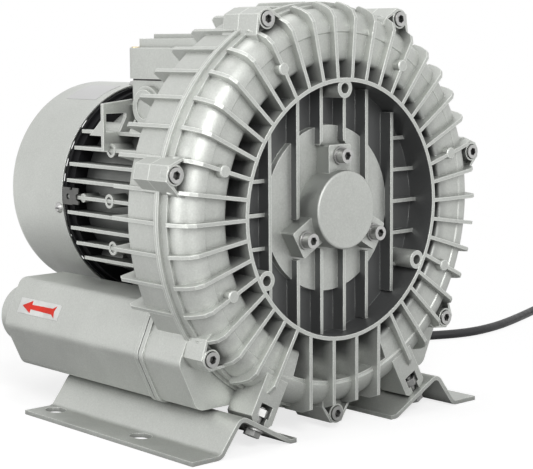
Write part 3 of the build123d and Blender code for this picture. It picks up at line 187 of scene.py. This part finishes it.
class Shader:
    """A small builder for one material: each call adds one node and returns its output."""

    def __init__(self, name, **settings):
        self.material = bpy.data.materials.new(name)
        self.material.use_nodes = True
        self.tree = self.material.node_tree
        self.base = self.tree.nodes["Principled BSDF"]
        for socket, value in settings.items():
            self.base.inputs[socket.replace("_", " ")].default_value = value
        self.place = self.tree.nodes.new("ShaderNodeTexCoord").outputs["Object"]

    def link(self, source, target):
        self.tree.links.new(source, target)

    def noise(self, scale, detail=3.0, roughness=0.5, stretch=None):
        node = self.tree.nodes.new("ShaderNodeTexNoise")
        node.inputs["Scale"].default_value = scale
        node.inputs["Detail"].default_value = detail
        node.inputs["Roughness"].default_value = roughness
        if stretch is None:
            self.link(self.place, node.inputs["Vector"])
        else:
            mapping = self.tree.nodes.new("ShaderNodeMapping")
            mapping.inputs["Scale"].default_value = stretch
            self.link(self.place, mapping.inputs["Vector"])
            self.link(mapping.outputs["Vector"], node.inputs["Vector"])
        return node.outputs["Fac"]

    def cells(self, scale):
        node = self.tree.nodes.new("ShaderNodeTexVoronoi")
        node.inputs["Scale"].default_value = scale
        self.link(self.place, node.inputs["Vector"])
        return node.outputs["Distance"]

    def ramp(self, source, low, high, low_color, high_color):
        node = self.tree.nodes.new("ShaderNodeValToRGB")
        node.color_ramp.elements[0].position = low
        node.color_ramp.elements[1].position = high
        node.color_ramp.elements[0].color = (*low_color, 1.0)
        node.color_ramp.elements[1].color = (*high_color, 1.0)
        self.link(source, node.inputs["Fac"])
        return node.outputs["Color"]

    def span(self, source, low, high, start=0.3, end=0.7):
        node = self.tree.nodes.new("ShaderNodeMapRange")
        node.inputs["From Min"].default_value = start
        node.inputs["From Max"].default_value = end
        node.inputs["To Min"].default_value = low
        node.inputs["To Max"].default_value = high
        self.link(source, node.inputs["Value"])
        return node.outputs["Result"]

    def blend(self, factor, first, second, mode="MIX"):
        node = self.tree.nodes.new("ShaderNodeMix")
        node.data_type = "RGBA"
        node.blend_type = mode
        for socket, value in ((0, factor), (6, first), (7, second)):
            if isinstance(value, (int, float)):
                node.inputs[socket].default_value = value
            elif isinstance(value, tuple):
                node.inputs[socket].default_value = (*value, 1.0)
            else:
                self.link(value, node.inputs[socket])
        return node.outputs[2]

    def bump(self, source, height, normal=None):
        node = self.tree.nodes.new("ShaderNodeBump")
        node.inputs["Strength"].default_value = 1.0
        node.inputs["Distance"].default_value = height
        self.link(source, node.inputs["Height"])
        if normal is not None:
            self.link(normal, node.inputs["Normal"])
        return node.outputs["Normal"]

    def rounded(self, radius):
        node = self.tree.nodes.new("ShaderNodeBevel")
        node.samples = 4
        node.inputs["Radius"].default_value = radius
        return node.outputs["Normal"]

    def crevice(self, distance):
        node = self.tree.nodes.new("ShaderNodeAmbientOcclusion")
        node.samples = 4
        node.inputs["Distance"].default_value = distance
        return node.outputs["AO"]

    def number(self, operation, *values):
        """One step of arithmetic on numbers or outputs."""
        node = self.tree.nodes.new("ShaderNodeMath")
        node.operation = operation
        for socket, value in zip(node.inputs, values):
            if isinstance(value, (int, float)):
                socket.default_value = value
            else:
                self.link(value, socket)
        return node.outputs[0]

    def times(self, *values):
        """The product of two or more numbers or outputs."""
        result = values[0]
        for value in values[1:]:
            result = self.number("MULTIPLY", result, value)
        return result

    def length(self, first, second):
        """The length of the line across two numbers or outputs at right angles."""
        squares = self.number("ADD", self.times(first, first), self.times(second, second))
        return self.number("SQRT", squares)

    def parts(self, vector):
        """The x, y and z of a vector output."""
        node = self.tree.nodes.new("ShaderNodeSeparateXYZ")
        self.link(vector, node.inputs[0])
        return node.outputs[0], node.outputs[1], node.outputs[2]

    def surface_normal(self):
        """The surface's own direction, fixed to the piece."""
        return self.tree.nodes.new("ShaderNodeTexCoord").outputs["Normal"]

    def edges(self, rounded):
        """How far the rounded direction turns from the flat one: nothing away from the edges."""
        straight = self.tree.nodes.new("ShaderNodeNewGeometry").outputs["Normal"]
        node = self.tree.nodes.new("ShaderNodeVectorMath")
        node.operation = "DOT_PRODUCT"
        self.link(straight, node.inputs[0])
        self.link(rounded, node.inputs[1])
        return self.number("SUBTRACT", 1.0, node.outputs["Value"])

    def color(self, source):
        self.link(source, self.base.inputs["Base Color"])

    def rough(self, source):
        self.link(source, self.base.inputs["Roughness"])

    def normal(self, source):
        self.link(source, self.base.inputs["Normal"])


def shade(color, factor):
    return tuple(min(1.0, part * factor) for part in color)


def axis_place(s):
    """Sideways and upward distance from the axis, the radius, and the depth behind the fins' front."""
    x, y, z = s.parts(s.place)
    rise = s.number("SUBTRACT", z, AXIS_HEIGHT)
    return x, rise, s.length(x, rise), s.number("SUBTRACT", y, FRONT_Y)


def clear_of_bosses(s, x, rise):
    """Nothing on the three tapped bosses of the cover, one elsewhere."""
    clear = []
    for turn in COVER_BOSS_TURNS:
        dx = s.number("SUBTRACT", x, COVER_BOSS_CIRCLE * math.cos(math.radians(turn)))
        dz = s.number("SUBTRACT", rise, COVER_BOSS_CIRCLE * math.sin(math.radians(turn)))
        clear.append(s.number("GREATER_THAN", s.length(dx, dz), COVER_BOSS_CLEAR))
    return s.times(*clear)


def recess_shade_mask(s):
    """One where the cover gets painted shade: the recess, the rib sides and the gap floors outside the
    ring.
    """
    x, rise, radius, depth = axis_place(s)
    across, along, up = s.parts(s.surface_normal())
    sideways = s.number("ABSOLUTE", across)
    facing = s.number("ABSOLUTE", along)
    within = s.number("LESS_THAN", radius, RECESS_RADIUS)
    beyond_plateau = s.number("GREATER_THAN", radius, PLATEAU_RADIUS)
    steep = s.number("LESS_THAN", facing, 0.5)
    low = s.number("MAXIMUM", s.number("GREATER_THAN", depth, PLATEAU_DEPTH), steep)
    rib_sides = s.times(within, s.number("GREATER_THAN", sideways, 0.9))
    recess = s.number("MAXIMUM", s.times(within, beyond_plateau, low), rib_sides)
    recess = s.times(recess, clear_of_bosses(s, x, rise))
    outward = s.number("DIVIDE", s.number("ADD", s.times(across, x), s.times(up, rise)), radius)
    floor = s.number("GREATER_THAN", s.number("MAXIMUM", facing, s.number("ABSOLUTE", outward)), 0.6)
    outside = s.times(s.number("GREATER_THAN", radius, RING_RADIUS), s.number("MAXIMUM", floor, 0.7))
    fade = s.span(radius, 1.0, 0.0, 0.100, 0.107)
    deep = s.span(depth, 0.0, 1.0, 0.003, 0.010)
    return s.number("MAXIMUM", recess, s.times(outside, fade, deep))


def cap_side_shade_mask(s):
    """Painted shade on the cap's side: one on its round side, nothing on its front, half way over the
    rounded rim.
    """
    along = s.parts(s.surface_normal())[1]
    return s.span(s.number("ABSOLUTE", along), 1.0, 0.0, 0.20, 0.75)


def fin_gap_shade_mask(s):
    """Painted shade between the side fins of the motor: near one deep between them, and most so beside
    the cowl.
    """
    x, rise, radius, depth = axis_place(s)
    deep = s.span(radius, 1.0, 0.0, MOTOR_FIN_ROOT, MOTOR_FIN_TIP)
    beside_cowl = s.span(depth, 0.62, 1.0, 0.178, 0.206)
    return s.times(deep, beside_cowl, s.number("LESS_THAN", rise, BOX_SEAT_HEIGHT))


def cast_paint(name, color, edge=0.0006, grain=1.0, metallic=0.60, gloss=0.44, shade_mask=None,
               dark=(0.135, 0.138, 0.138), edge_highlight_level=1.0):
    """Silver paint over a casting: cloudy tone, flakes, painted shade in the corners and a painted
    highlight on the edges.

    Where the shade mask is one, painted shade turns the paint to the dark colour. The edge highlight
    level is how bright the painted highlight on the edges is, from 0 to 1.
    """
    s = Shader(name, Metallic=metallic)
    cloud = s.noise(16.0, 4.0, 0.55)
    tone = s.ramp(cloud, 0.3, 0.7, shade(color, 0.94), shade(color, 1.05))
    flake = s.noise(900.0, 2.0, 0.7)
    tone = s.blend(s.span(flake, 0.0, 0.30, 0.50, 0.80), tone, shade(color, 1.45))
    tone = s.blend(s.span(flake, 0.26, 0.0, 0.20, 0.48), tone, shade(color, 0.62))
    # Painted shade: the colour darkens in corners and hollows, where less light reaches.
    openness = s.crevice(0.010)
    corner_shade = s.ramp(s.span(openness, 0.38, 1.0, 0.15, 0.76), 0.0, 1.0, (0, 0, 0), (1, 1, 1))
    tone = s.blend(1.0, tone, corner_shade, "MULTIPLY")
    # Painted shade: where the shade mask is one, the colour turns to the dark shade colour.
    if shade_mask is not None:
        tone = s.blend(shade_mask(s), tone, dark)
    # Painted highlight: edges are brightened as if they catch the light, but not in hollows.
    edge_highlight_mask = s.span(s.edges(s.rounded(0.0011)), 0.0, edge_highlight_level, 0.01, 0.12)
    edge_highlight_mask = s.times(edge_highlight_mask, s.span(openness, 0.0, 1.0, 0.55, 0.90))
    s.color(s.blend(edge_highlight_mask, tone, shade(color, 1.65)))
    s.rough(s.span(s.noise(60.0, 5.0), gloss - 0.05, gloss + 0.10))
    skin = s.bump(s.noise(900.0, 2.0), 0.00011 * grain, s.rounded(edge))
    s.normal(s.bump(s.noise(150.0, 3.0), 0.00012 * grain, skin))
    return s.material


def plated(name, color, rough=0.30):
    """Zinc plating with small bruises, and painted shade, near black, in sockets and deep corners."""
    s = Shader(name, Metallic=0.95)
    tone = s.ramp(s.noise(300.0, 4.0), 0.3, 0.75, shade(color, 0.82), color)
    # Painted shade: the colour goes near black in sockets and deep corners, where little light reaches.
    depth = s.ramp(s.crevice(0.0045), 0.30, 0.80, (0.015, 0.015, 0.015), (1, 1, 1))
    s.color(s.blend(1.0, tone, depth, "MULTIPLY"))
    s.rough(s.span(s.noise(900.0, 3.0), rough - 0.06, rough + 0.12))
    s.normal(s.bump(s.noise(1200.0, 3.0), 0.00003, s.rounded(0.0003)))
    return s.material


def machined(name, color, stretch, rough=0.32):
    """Turned or ground metal, with fine lines along the stretched direction."""
    s = Shader(name, Metallic=1.0)
    lines = s.noise(90.0, 5.0, 0.6, stretch)
    s.color(s.ramp(lines, 0.25, 0.75, shade(color, 0.85), color))
    s.rough(s.span(lines, rough - 0.08, rough + 0.10))
    s.normal(s.bump(lines, 0.00003, s.rounded(0.0003)))
    return s.material


def plastic(name, color, rough, grain, height, shine=0.5):
    """Moulded plastic or rubber with a fine even grain and slight rub marks."""
    s = Shader(name, Specular_IOR_Level=shine)
    s.color(s.ramp(s.noise(40.0, 4.0), 0.3, 0.7, shade(color, 0.85), shade(color, 1.2)))
    s.rough(s.span(s.noise(130.0, 4.0), rough - 0.08, rough + 0.08))
    s.normal(s.bump(s.noise(grain, 2.0), height, s.rounded(0.0004)))
    return s.material


def wire_material():
    """Wound copper wire, its strands running round the coil."""
    s = Shader("copper_wire", Metallic=0.9)
    strands = s.noise(60.0, 2.0, 0.4, (1.0, 14.0, 1.0))
    s.color(s.ramp(strands, 0.35, 0.65, (0.25, 0.09, 0.04), (0.70, 0.34, 0.17)))
    s.rough(s.span(strands, 0.28, 0.45))
    s.normal(s.bump(strands, 0.0006))
    return s.material


def core_material():
    """A stack of punched steel sheets."""
    s = Shader("sheet_stack", Metallic=0.9)
    layers = s.noise(60.0, 1.0, 0.3, (0.2, 30.0, 0.2))
    s.color(s.ramp(layers, 0.4, 0.6, (0.16, 0.16, 0.17), (0.40, 0.40, 0.41)))
    s.rough(s.span(layers, 0.40, 0.60))
    s.normal(s.bump(layers, 0.0002))
    return s.material


def foam_material():
    """Open grey foam with pores."""
    s = Shader("open_foam", Roughness=0.95)
    pores = s.cells(900.0)
    s.color(s.ramp(pores, 0.1, 0.6, (0.05, 0.05, 0.05), (0.20, 0.20, 0.21)))
    s.normal(s.bump(pores, 0.0006))
    return s.material


# One material for each slot of the record, and five nodes that have their own

silver = (0.562, 0.577, 0.549)
materials = {
    "silver_paint": cast_paint("silver_paint", silver),
    "silver_paint_silencer": cast_paint("silver_paint_silencer", shade(silver, 0.97), 0.0010, 1.4),
    "zinc_sheet": cast_paint("painted_sheet", shade(silver, 0.98), 0.0005, 0.6),
    "zinc_steel": plated("zinc_plating", (0.56, 0.56, 0.55), 0.38),
    "ground_steel": machined("ground_steel", (0.60, 0.60, 0.61), (1.0, 40.0, 1.0)),
    "raw_aluminium": machined("machined_aluminium", (0.76, 0.76, 0.76), (1.0, 1.0, 1.0), 0.38),
    "brass": machined("plain_brass", (0.74, 0.58, 0.30), (1.0, 1.0, 8.0), 0.30),
    "copper_winding": wire_material(),
    "core_steel": core_material(),
    "black_rubber": plastic("black_rubber", (0.030, 0.030, 0.032), 0.62, 1500.0, 0.00005),
    "black_plastic": plastic("black_plastic", (0.038, 0.038, 0.041), 0.48, 1100.0, 0.00004),
    "black_sleeve": plastic("cable_sleeve", (0.022, 0.022, 0.024), 0.46, 2200.0, 0.00002),
    "gasket_rubber": plastic("gasket_rubber", (0.07, 0.07, 0.07), 0.75, 800.0, 0.00006),
    "foam": foam_material(),
    "cream_plastic": plastic("cream_plastic", (0.74, 0.70, 0.58), 0.42, 900.0, 0.00003),
    "white_plastic": plastic("white_plastic", (0.78, 0.78, 0.76), 0.40, 900.0, 0.00003),
}
# The cover, the cap and the motor get painted shade through their shade masks and dark colours; the cowl
# gets a weaker painted highlight on its edges.
own_materials = {
    "casing_cover": cast_paint("cover_paint", silver, shade_mask=recess_shade_mask),
    "bearing_cap": cast_paint("cap_paint", silver, shade_mask=cap_side_shade_mask, dark=(0.33, 0.34, 0.325)),
    "fan_cowl": cast_paint("cowl_paint", silver, grain=0.2, metallic=0.75, gloss=0.34, edge_highlight_level=0.15),
    "motor_housing": cast_paint("motor_paint", silver, shade_mask=fin_gap_shade_mask, dark=(0.075, 0.078, 0.077)),
    "end_shield": plastic("shield_black", (0.008, 0.008, 0.009), 0.65, 900.0, 0.00005, 0.15),
}
for entry in frame["record"]["subparts"]:
    mesh = nodes[entry["node"]].data
    mesh.materials.clear()
    mesh.materials.append(own_materials.get(entry["node"], materials[entry["material_slot"]]))


# Pieces made here

def ring_of(bm, count, point):
    """A closed ring of vertices, each at the place that point gives for its angle."""
    return [bm.verts.new(point(2 * math.pi * k / count)) for k in range(count)]


def join_rings(bm, pairs):
    """Faces between each pair of rings."""
    for first, second in pairs:
        count = len(first)
        for k in range(count):
            m = (k + 1) % count
            bm.faces.new((first[k], first[m], second[m], second[k]))


def mesh_piece(name, bm, material, body="housing", smooth=True):
    """Finish a piece: make its object, give it a material and let it ride."""
    data = bpy.data.meshes.new(name)
    bmesh.ops.recalc_face_normals(bm, faces=bm.faces)
    bm.to_mesh(data)
    bm.free()
    for polygon in data.polygons:
        polygon.use_smooth = smooth
    piece = bpy.data.objects.new(name, data)
    scene.collection.objects.link(piece)
    data.materials.append(material)
    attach(piece, body)
    return piece


def spun(profile, segments, origin, x_dir, axis):
    """Turn (along, radius) points about an axis through origin, closed at both ends."""
    bm = bmesh.new()
    side = x_dir.cross(axis).normalized()

    def place(along, radius):
        return lambda angle: (origin + axis * along + x_dir * (radius * math.cos(angle))
                              + side * (radius * math.sin(angle)))

    rings = [ring_of(bm, segments, place(along, radius)) for along, radius in profile]
    join_rings(bm, zip(rings, rings[1:]))
    bm.faces.new(rings[0])
    bm.faces.new(rings[-1])
    return bm


def ribbed_sleeve():
    """The cable's bend relief, with open rings along a taper."""
    low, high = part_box("strain_relief")
    length = high[0] - low[0]
    centre_y = (low[1] + high[1]) / 2
    centre_z = (low[2] + high[2]) / 2
    wide = (high[1] - low[1]) / 2
    narrow = CABLE_RADIUS + 0.0012
    profile = [(0.0, wide * 0.98), (0.004, wide * 0.98)]
    rings = 6
    pitch = (length - 0.008) / rings
    for k in range(rings):
        start = 0.004 + pitch * k
        outer = wide + (narrow - wide) * (start / length)
        profile += [(start + 0.1 * pitch, outer - 0.0014), (start + 0.4 * pitch, outer - 0.0014),
                    (start + 0.5 * pitch, outer - 0.0002), (start + 0.95 * pitch, outer - 0.0004)]
    profile += [(length - 0.003, narrow), (length, narrow - 0.0003)]
    origin = Vector((low[0], centre_y, centre_z))
    bm = spun(profile, 40, origin, Vector((0, 1, 0)), Vector((1, 0, 0)))
    piece = mesh_piece("ribbed_sleeve", bm, materials["black_rubber"])
    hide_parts("strain_relief")


def coil_tie():
    """A flat strap round the turns of the coil, with its pinched end."""
    bm = bmesh.new()
    angle = math.radians(200)
    out = Vector((math.cos(angle), math.sin(angle), 0))
    along = Vector((-math.sin(angle), math.cos(angle), 0))
    centre = Vector((COIL_X, COIL_Y, 0)) + out * COIL_RADIUS
    half = 0.0120
    half_width = 0.004
    band = 0.0006
    under = 0.0004
    loop = [(-half, under), (half, under), (half + 0.0008, 0.003), (half + 0.0004, 0.0075),
            (half - 0.003, 0.0125), (half - 0.006, 0.0156), (0.004, 0.0160), (-0.004, 0.0160),
            (-half + 0.006, 0.0156), (-half + 0.003, 0.0125), (-half - 0.0004, 0.0075),
            (-half - 0.0008, 0.003)]
    rows = []
    for shift, inset in ((-half_width, 0.0), (-half_width, band), (half_width, band), (half_width, 0.0)):
        row = []
        for across, up in loop:
            height = up if up == under else up - inset
            sideways = across * (1 - inset / half)
            row.append(bm.verts.new(centre + out * sideways + along * shift + Vector((0, 0, height))))
        rows.append(row)
    join_rings(bm, zip(rows, rows[1:] + rows[:1]))
    return mesh_piece("coil_tie", bm, materials["black_plastic"], smooth=False)


def facet_point(along_y, up_facet, lift):
    """A point on the upper outer facet of the outlet silencer."""
    vertex = Vector((-SILENCER_X - SILENCER_CORNER, 0, SILENCER_Z))
    top = Vector((-SILENCER_X - SILENCER_TOP_X, 0, SILENCER_Z + SILENCER_TOP_Z))
    up = (top - vertex).normalized()
    normal = Vector((-up.z, 0, up.x))
    return vertex + up * up_facet + normal * lift + Vector((0, along_y, 0))


def facet_plate(name, outline, low, high, material):
    """A thin plate on the facet with the outline given along the silencer and up the facet."""
    bm = bmesh.new()
    bottom = [bm.verts.new(facet_point(y, u, low)) for y, u in outline]
    top = [bm.verts.new(facet_point(y, u, high)) for y, u in outline]
    bm.faces.new(bottom)
    bm.faces.new(top)
    join_rings(bm, ((bottom, top),))
    mesh_piece(name, bm, material, smooth=False)


def rounded_outline(y0, y1, u0, u1, radius, steps=5):
    """The outline of a rectangle with rounded corners, anticlockwise."""
    points = []
    corners = ((y1 - radius, u1 - radius, 0), (y0 + radius, u1 - radius, 90),
               (y0 + radius, u0 + radius, 180), (y1 - radius, u0 + radius, 270))
    for y, u, start in corners:
        for k in range(steps + 1):
            angle = math.radians(start + 90 * k / steps)
            points.append((y + radius * math.cos(angle), u + radius * math.sin(angle)))
    return points


def outlet_label():
    """The bare label on the outlet silencer, with a red arrow for the direction of the air."""
    foil = plastic("label_foil", (0.75, 0.76, 0.74), 0.40, 1500.0, 0.00001)
    red = plastic("label_red", (0.72, 0.030, 0.014), 0.45, 1500.0, 0.00001, 0.3)
    outline = rounded_outline(0.0286, 0.0797, 0.0100, 0.0217, 0.0010)
    facet_plate("outlet_label", outline, 0.0, 0.00025, foil)
    arrow = [(0.0335, 0.0114), (0.0375, 0.0136), (0.0640, 0.0141), (0.0640, 0.0112), (0.0755, 0.0158),
             (0.0640, 0.0204), (0.0640, 0.0175), (0.0375, 0.0180), (0.0335, 0.0202), (0.0353, 0.0158)]
    facet_plate("outlet_arrow", arrow, 0.0002, 0.00045, red)


def round_bar(bm, centre, y0, y1, radius, chamfer, segments=28):
    """A short round bar along the shaft with a broken front edge, added to a mesh."""
    def place(y, r):
        return lambda angle: (centre[0] + r * math.cos(angle), y, centre[1] + r * math.sin(angle))

    profile = ((y1, radius), (y0 + chamfer, radius), (y0, radius - chamfer))
    rings = [ring_of(bm, segments, place(y, r)) for y, r in profile]
    join_rings(bm, zip(rings, rings[1:]))
    bm.faces.new(rings[0])
    bm.faces.new(rings[-1])


def casting_marks():
    """Round marks of the casting's ejector pins, on three fins of each half of the cover."""
    circle = 0.109
    radius = 0.0042
    bm = bmesh.new()
    for turn in (120.0, 162.857, 205.714):
        for side in (1, -1):
            x = side * circle * math.cos(math.radians(turn))
            z = AXIS_HEIGHT + circle * math.sin(math.radians(turn))
            round_bar(bm, (x, z), FRONT_Y - 0.0003, FRONT_Y + 0.008, radius, 0.0006)
    mesh_piece("casting_marks", bm, materials["silver_paint"], smooth=False)


def flat_curve(name, half_thickness):
    """An empty flat curve that fills its closed outlines and has some thickness."""
    data = bpy.data.curves.new(name, "CURVE")
    data.dimensions = "2D"
    data.fill_mode = "BOTH"
    data.extrude = half_thickness
    return data


def add_outline(data, points):
    """One closed outline of a flat curve, through (y, z) points."""
    spline = data.splines.new("POLY")
    spline.points.add(len(points) - 1)
    for target, (y, z) in zip(spline.points, points):
        target.co = (y, z, 0, 1)
    spline.use_cyclic_u = True


def side_bracket(material):
    """A dark notched sheet with a hole, across the end of the middle motor fin on the seen side."""
    outline = ((0.2131, 0.1448), (0.2131, 0.1574), (0.2045, 0.1574), (0.2045, 0.1558), (0.2010, 0.1558),
               (0.2010, 0.1574), (0.1938, 0.1574), (0.1938, 0.1535), (0.1968, 0.1525), (0.1968, 0.1488),
               (0.1938, 0.1478), (0.1938, 0.1454), (0.2010, 0.1454), (0.2010, 0.1448))
    hole_depth, hole_height, hole_radius, hole_points = 0.2067, 0.1508, 0.0021, 20
    sheet_x = -0.0802
    data = flat_curve("side_bracket", 0.0006)
    add_outline(data, [(depth + FRONT_Y, z) for depth, z in outline])
    turns = [2 * math.pi * k / hole_points for k in range(hole_points)]
    add_outline(data, [(hole_depth + FRONT_Y + hole_radius * math.cos(turn),
                        hole_height + hole_radius * math.sin(turn)) for turn in turns])
    flat = bpy.data.objects.new("side_bracket_outline", data)
    scene.collection.objects.link(flat)
    bpy.context.view_layer.update()
    mesh = bpy.data.meshes.new_from_object(flat.evaluated_get(bpy.context.evaluated_depsgraph_get()))
    bpy.data.objects.remove(flat)
    upright = Matrix(((0, 0, 1, 0), (1, 0, 0, 0), (0, 1, 0, 0), (0, 0, 0, 1)))
    mesh.transform(Matrix.Translation((sheet_x, 0, 0)) @ upright)
    mesh.materials.clear()
    mesh.materials.append(material)
    piece = bpy.data.objects.new("side_bracket", mesh)
    scene.collection.objects.link(piece)
    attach(piece, "housing")


def ring_mark(bm, side, x, y, z, outer, inner, height, segments=28):
    """A flat ring standing out sideways from a boss of the motor, to the left for a side of -1."""
    def place(radius, out):
        return lambda angle: (side * (x + out), y + radius * math.cos(angle),
                              z + radius * math.sin(angle))

    profile = ((outer, 0.0), (outer, height), (inner, height), (inner, 0.0))
    rings = [ring_of(bm, segments, place(radius, out)) for radius, out in profile]
    join_rings(bm, zip(rings, rings[1:] + rings[:1]))


def boss_rings():
    """The raised rims of the three large bosses on each side of the motor."""
    bm = bmesh.new()
    for side in (-1, 1):
        for row, depth, face in MOTOR_BOSSES:
            z = AXIS_HEIGHT + row * MOTOR_FIN_PITCH
            ring_mark(bm, side, face - 0.0003, depth + FRONT_Y, z, 0.0050, 0.0031, 0.0012)
    mesh_piece("boss_rings", bm, materials["silver_paint"], smooth=False)


def boss_screw(material):
    """The dark head of the set screw in the middle boss of each side."""
    row, depth, face = MOTOR_BOSSES[1]
    bm = bmesh.new()
    for side in (-1, 1):
        ring_mark(bm, side, face - 0.0004, depth + FRONT_Y, AXIS_HEIGHT, 0.0030, 0.0014, 0.0008, 6)
    mesh_piece("boss_screw", bm, material, smooth=False)


def cowl_plate():
    """A thin bare plate on top of the cowl, bent to its curve."""
    metal = machined("plate_metal", (0.60, 0.60, 0.60), (1.0, 30.0, 1.0), 0.40)
    bm = bmesh.new()
    low, high, count = math.radians(103.5), math.radians(121.5), 12
    front, rear = 0.224 + FRONT_Y, 0.262 + FRONT_Y
    inside, outside = COWL_RADIUS - 0.0002, COWL_RADIUS + 0.0002
    rows = []
    for y, radius in ((front, inside), (front, outside), (rear, outside), (rear, inside)):
        row = []
        for k in range(count + 1):
            angle = low + (high - low) * k / count
            z = AXIS_HEIGHT + radius * math.sin(angle)
            row.append(bm.verts.new((radius * math.cos(angle), y, z)))
        rows.append(row)
    for first, second in zip(rows, rows[1:] + rows[:1]):
        for k in range(count):
            bm.faces.new((first[k], first[k + 1], second[k + 1], second[k]))
    bm.faces.new([row[0] for row in rows])
    bm.faces.new([row[-1] for row in reversed(rows)])
    mesh_piece("cowl_plate", bm, metal, smooth=False)


outlet_label()
dark_sheet = plated("blackened_sheet", (0.16, 0.16, 0.155), 0.45)
ribbed_sleeve()
tie = coil_tie()
casting_marks()
boss_rings()
boss_screw(dark_sheet)
cowl_plate()
side_bracket(dark_sheet)

cable.data.materials.append(materials["black_sleeve"])
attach(cable, "housing")
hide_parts("power_cable", "cable_coil")


# Floor, background and light

def seen_rays(tree, glossy=True):
    """One for what the camera, a clear piece or also a reflection shows, nought for light on its way."""
    path = tree.nodes.new("ShaderNodeLightPath")
    result = path.outputs["Is Camera Ray"]
    for name in ("Is Transmission Ray", "Is Glossy Ray")[:2 if glossy else 1]:
        larger = tree.nodes.new("ShaderNodeMath")
        larger.operation = "MAXIMUM"
        tree.links.new(result, larger.inputs[0])
        tree.links.new(path.outputs[name], larger.inputs[1])
        result = larger.outputs[0]
    return result


def mixed(tree, factor, first, second):
    """The first shader where the factor is nought, the second where it is one."""
    node = tree.nodes.new("ShaderNodeMixShader")
    tree.links.new(factor, node.inputs[0])
    tree.links.new(first, node.inputs[1])
    tree.links.new(second, node.inputs[2])
    return node.outputs[0]


def floor_material():
    """White where it is seen, with the object's shadow near it, and a plain pale floor for the light."""
    material = bpy.data.materials.new("pale_floor")
    material.use_nodes = True
    tree = material.node_tree
    tree.nodes.remove(tree.nodes["Principled BSDF"])
    plain = tree.nodes.new("ShaderNodeBsdfDiffuse")
    plain.inputs["Color"].default_value = (0.50, 0.50, 0.50, 1.0)
    shaded = tree.nodes.new("ShaderNodeBsdfDiffuse")
    shaded.inputs["Color"].default_value = (0.42, 0.42, 0.42, 1.0)
    glow = tree.nodes.new("ShaderNodeEmission")
    glow.inputs["Strength"].default_value = 0.75
    near = tree.nodes.new("ShaderNodeAddShader")
    tree.links.new(shaded.outputs[0], near.inputs[0])
    tree.links.new(glow.outputs[0], near.inputs[1])
    white = tree.nodes.new("ShaderNodeEmission")
    white.inputs["Strength"].default_value = 1.0
    distance = tree.nodes.new("ShaderNodeVectorMath")
    distance.operation = "LENGTH"
    place = tree.nodes.new("ShaderNodeTexCoord")
    tree.links.new(place.outputs["Object"], distance.inputs[0])
    fade = tree.nodes.new("ShaderNodeMapRange")
    fade.inputs["From Min"].default_value = 0.22
    fade.inputs["From Max"].default_value = 0.50
    tree.links.new(distance.outputs["Value"], fade.inputs["Value"])
    close = mixed(tree, seen_rays(tree, False), plain.outputs[0], near.outputs[0])
    seen = mixed(tree, fade.outputs["Result"], close, white.outputs[0])
    both = mixed(tree, seen_rays(tree), plain.outputs[0], seen)
    tree.links.new(both, tree.nodes["Material Output"].inputs["Surface"])
    return material


def make_floor():
    """A wide flat floor just under the object."""
    bm = bmesh.new()
    bmesh.ops.create_grid(bm, x_segments=1, y_segments=1, size=6.0)
    data = bpy.data.meshes.new("floor")
    bm.to_mesh(data)
    bm.free()
    floor = bpy.data.objects.new("floor", data)
    floor.location = (0, 0, FLOOR - 0.0002)
    scene.collection.objects.link(floor)
    data.materials.append(floor_material())


def make_world():
    """White where it is seen, and dim for the light that it gives."""
    world = bpy.data.worlds.new("studio")
    scene.world = world
    world.use_nodes = True
    tree = world.node_tree
    dim = tree.nodes["Background"]
    dim.inputs["Color"].default_value = (1, 1, 1, 1)
    dim.inputs["Strength"].default_value = 0.25
    white = tree.nodes.new("ShaderNodeBackground")
    white.inputs["Color"].default_value = (1, 1, 1, 1)
    white.inputs["Strength"].default_value = 1.0
    both = mixed(tree, seen_rays(tree), dim.outputs[0], white.outputs[0])
    tree.links.new(both, tree.nodes["World Output"].inputs["Surface"])


def area_light(name, place, target, size, power):
    """A round soft lamp turned to the target."""
    data = bpy.data.lights.new(name, "AREA")
    data.shape = "DISK"
    data.size = size
    data.energy = power
    lamp = bpy.data.objects.new(name, data)
    lamp.location = place
    lamp.rotation_euler = (Vector(target) - Vector(place)).to_track_quat("-Z", "Y").to_euler()
    scene.collection.objects.link(lamp)


make_floor()
make_world()
area_light("key", (-0.85, -1.6, 1.2), (0, 0, 0.12), 0.8, 18.5)
area_light("fill", (-0.9, -1.7, 0.25), (0, 0, 0.10), 1.6, 5.0)
area_light("left", (-1.9, 0.0, 0.4), (0, 0, 0.12), 0.8, 11.0)
area_light("top", (0.1, 0.2, 1.8), (0, 0, 0.1), 0.8, 5.5)
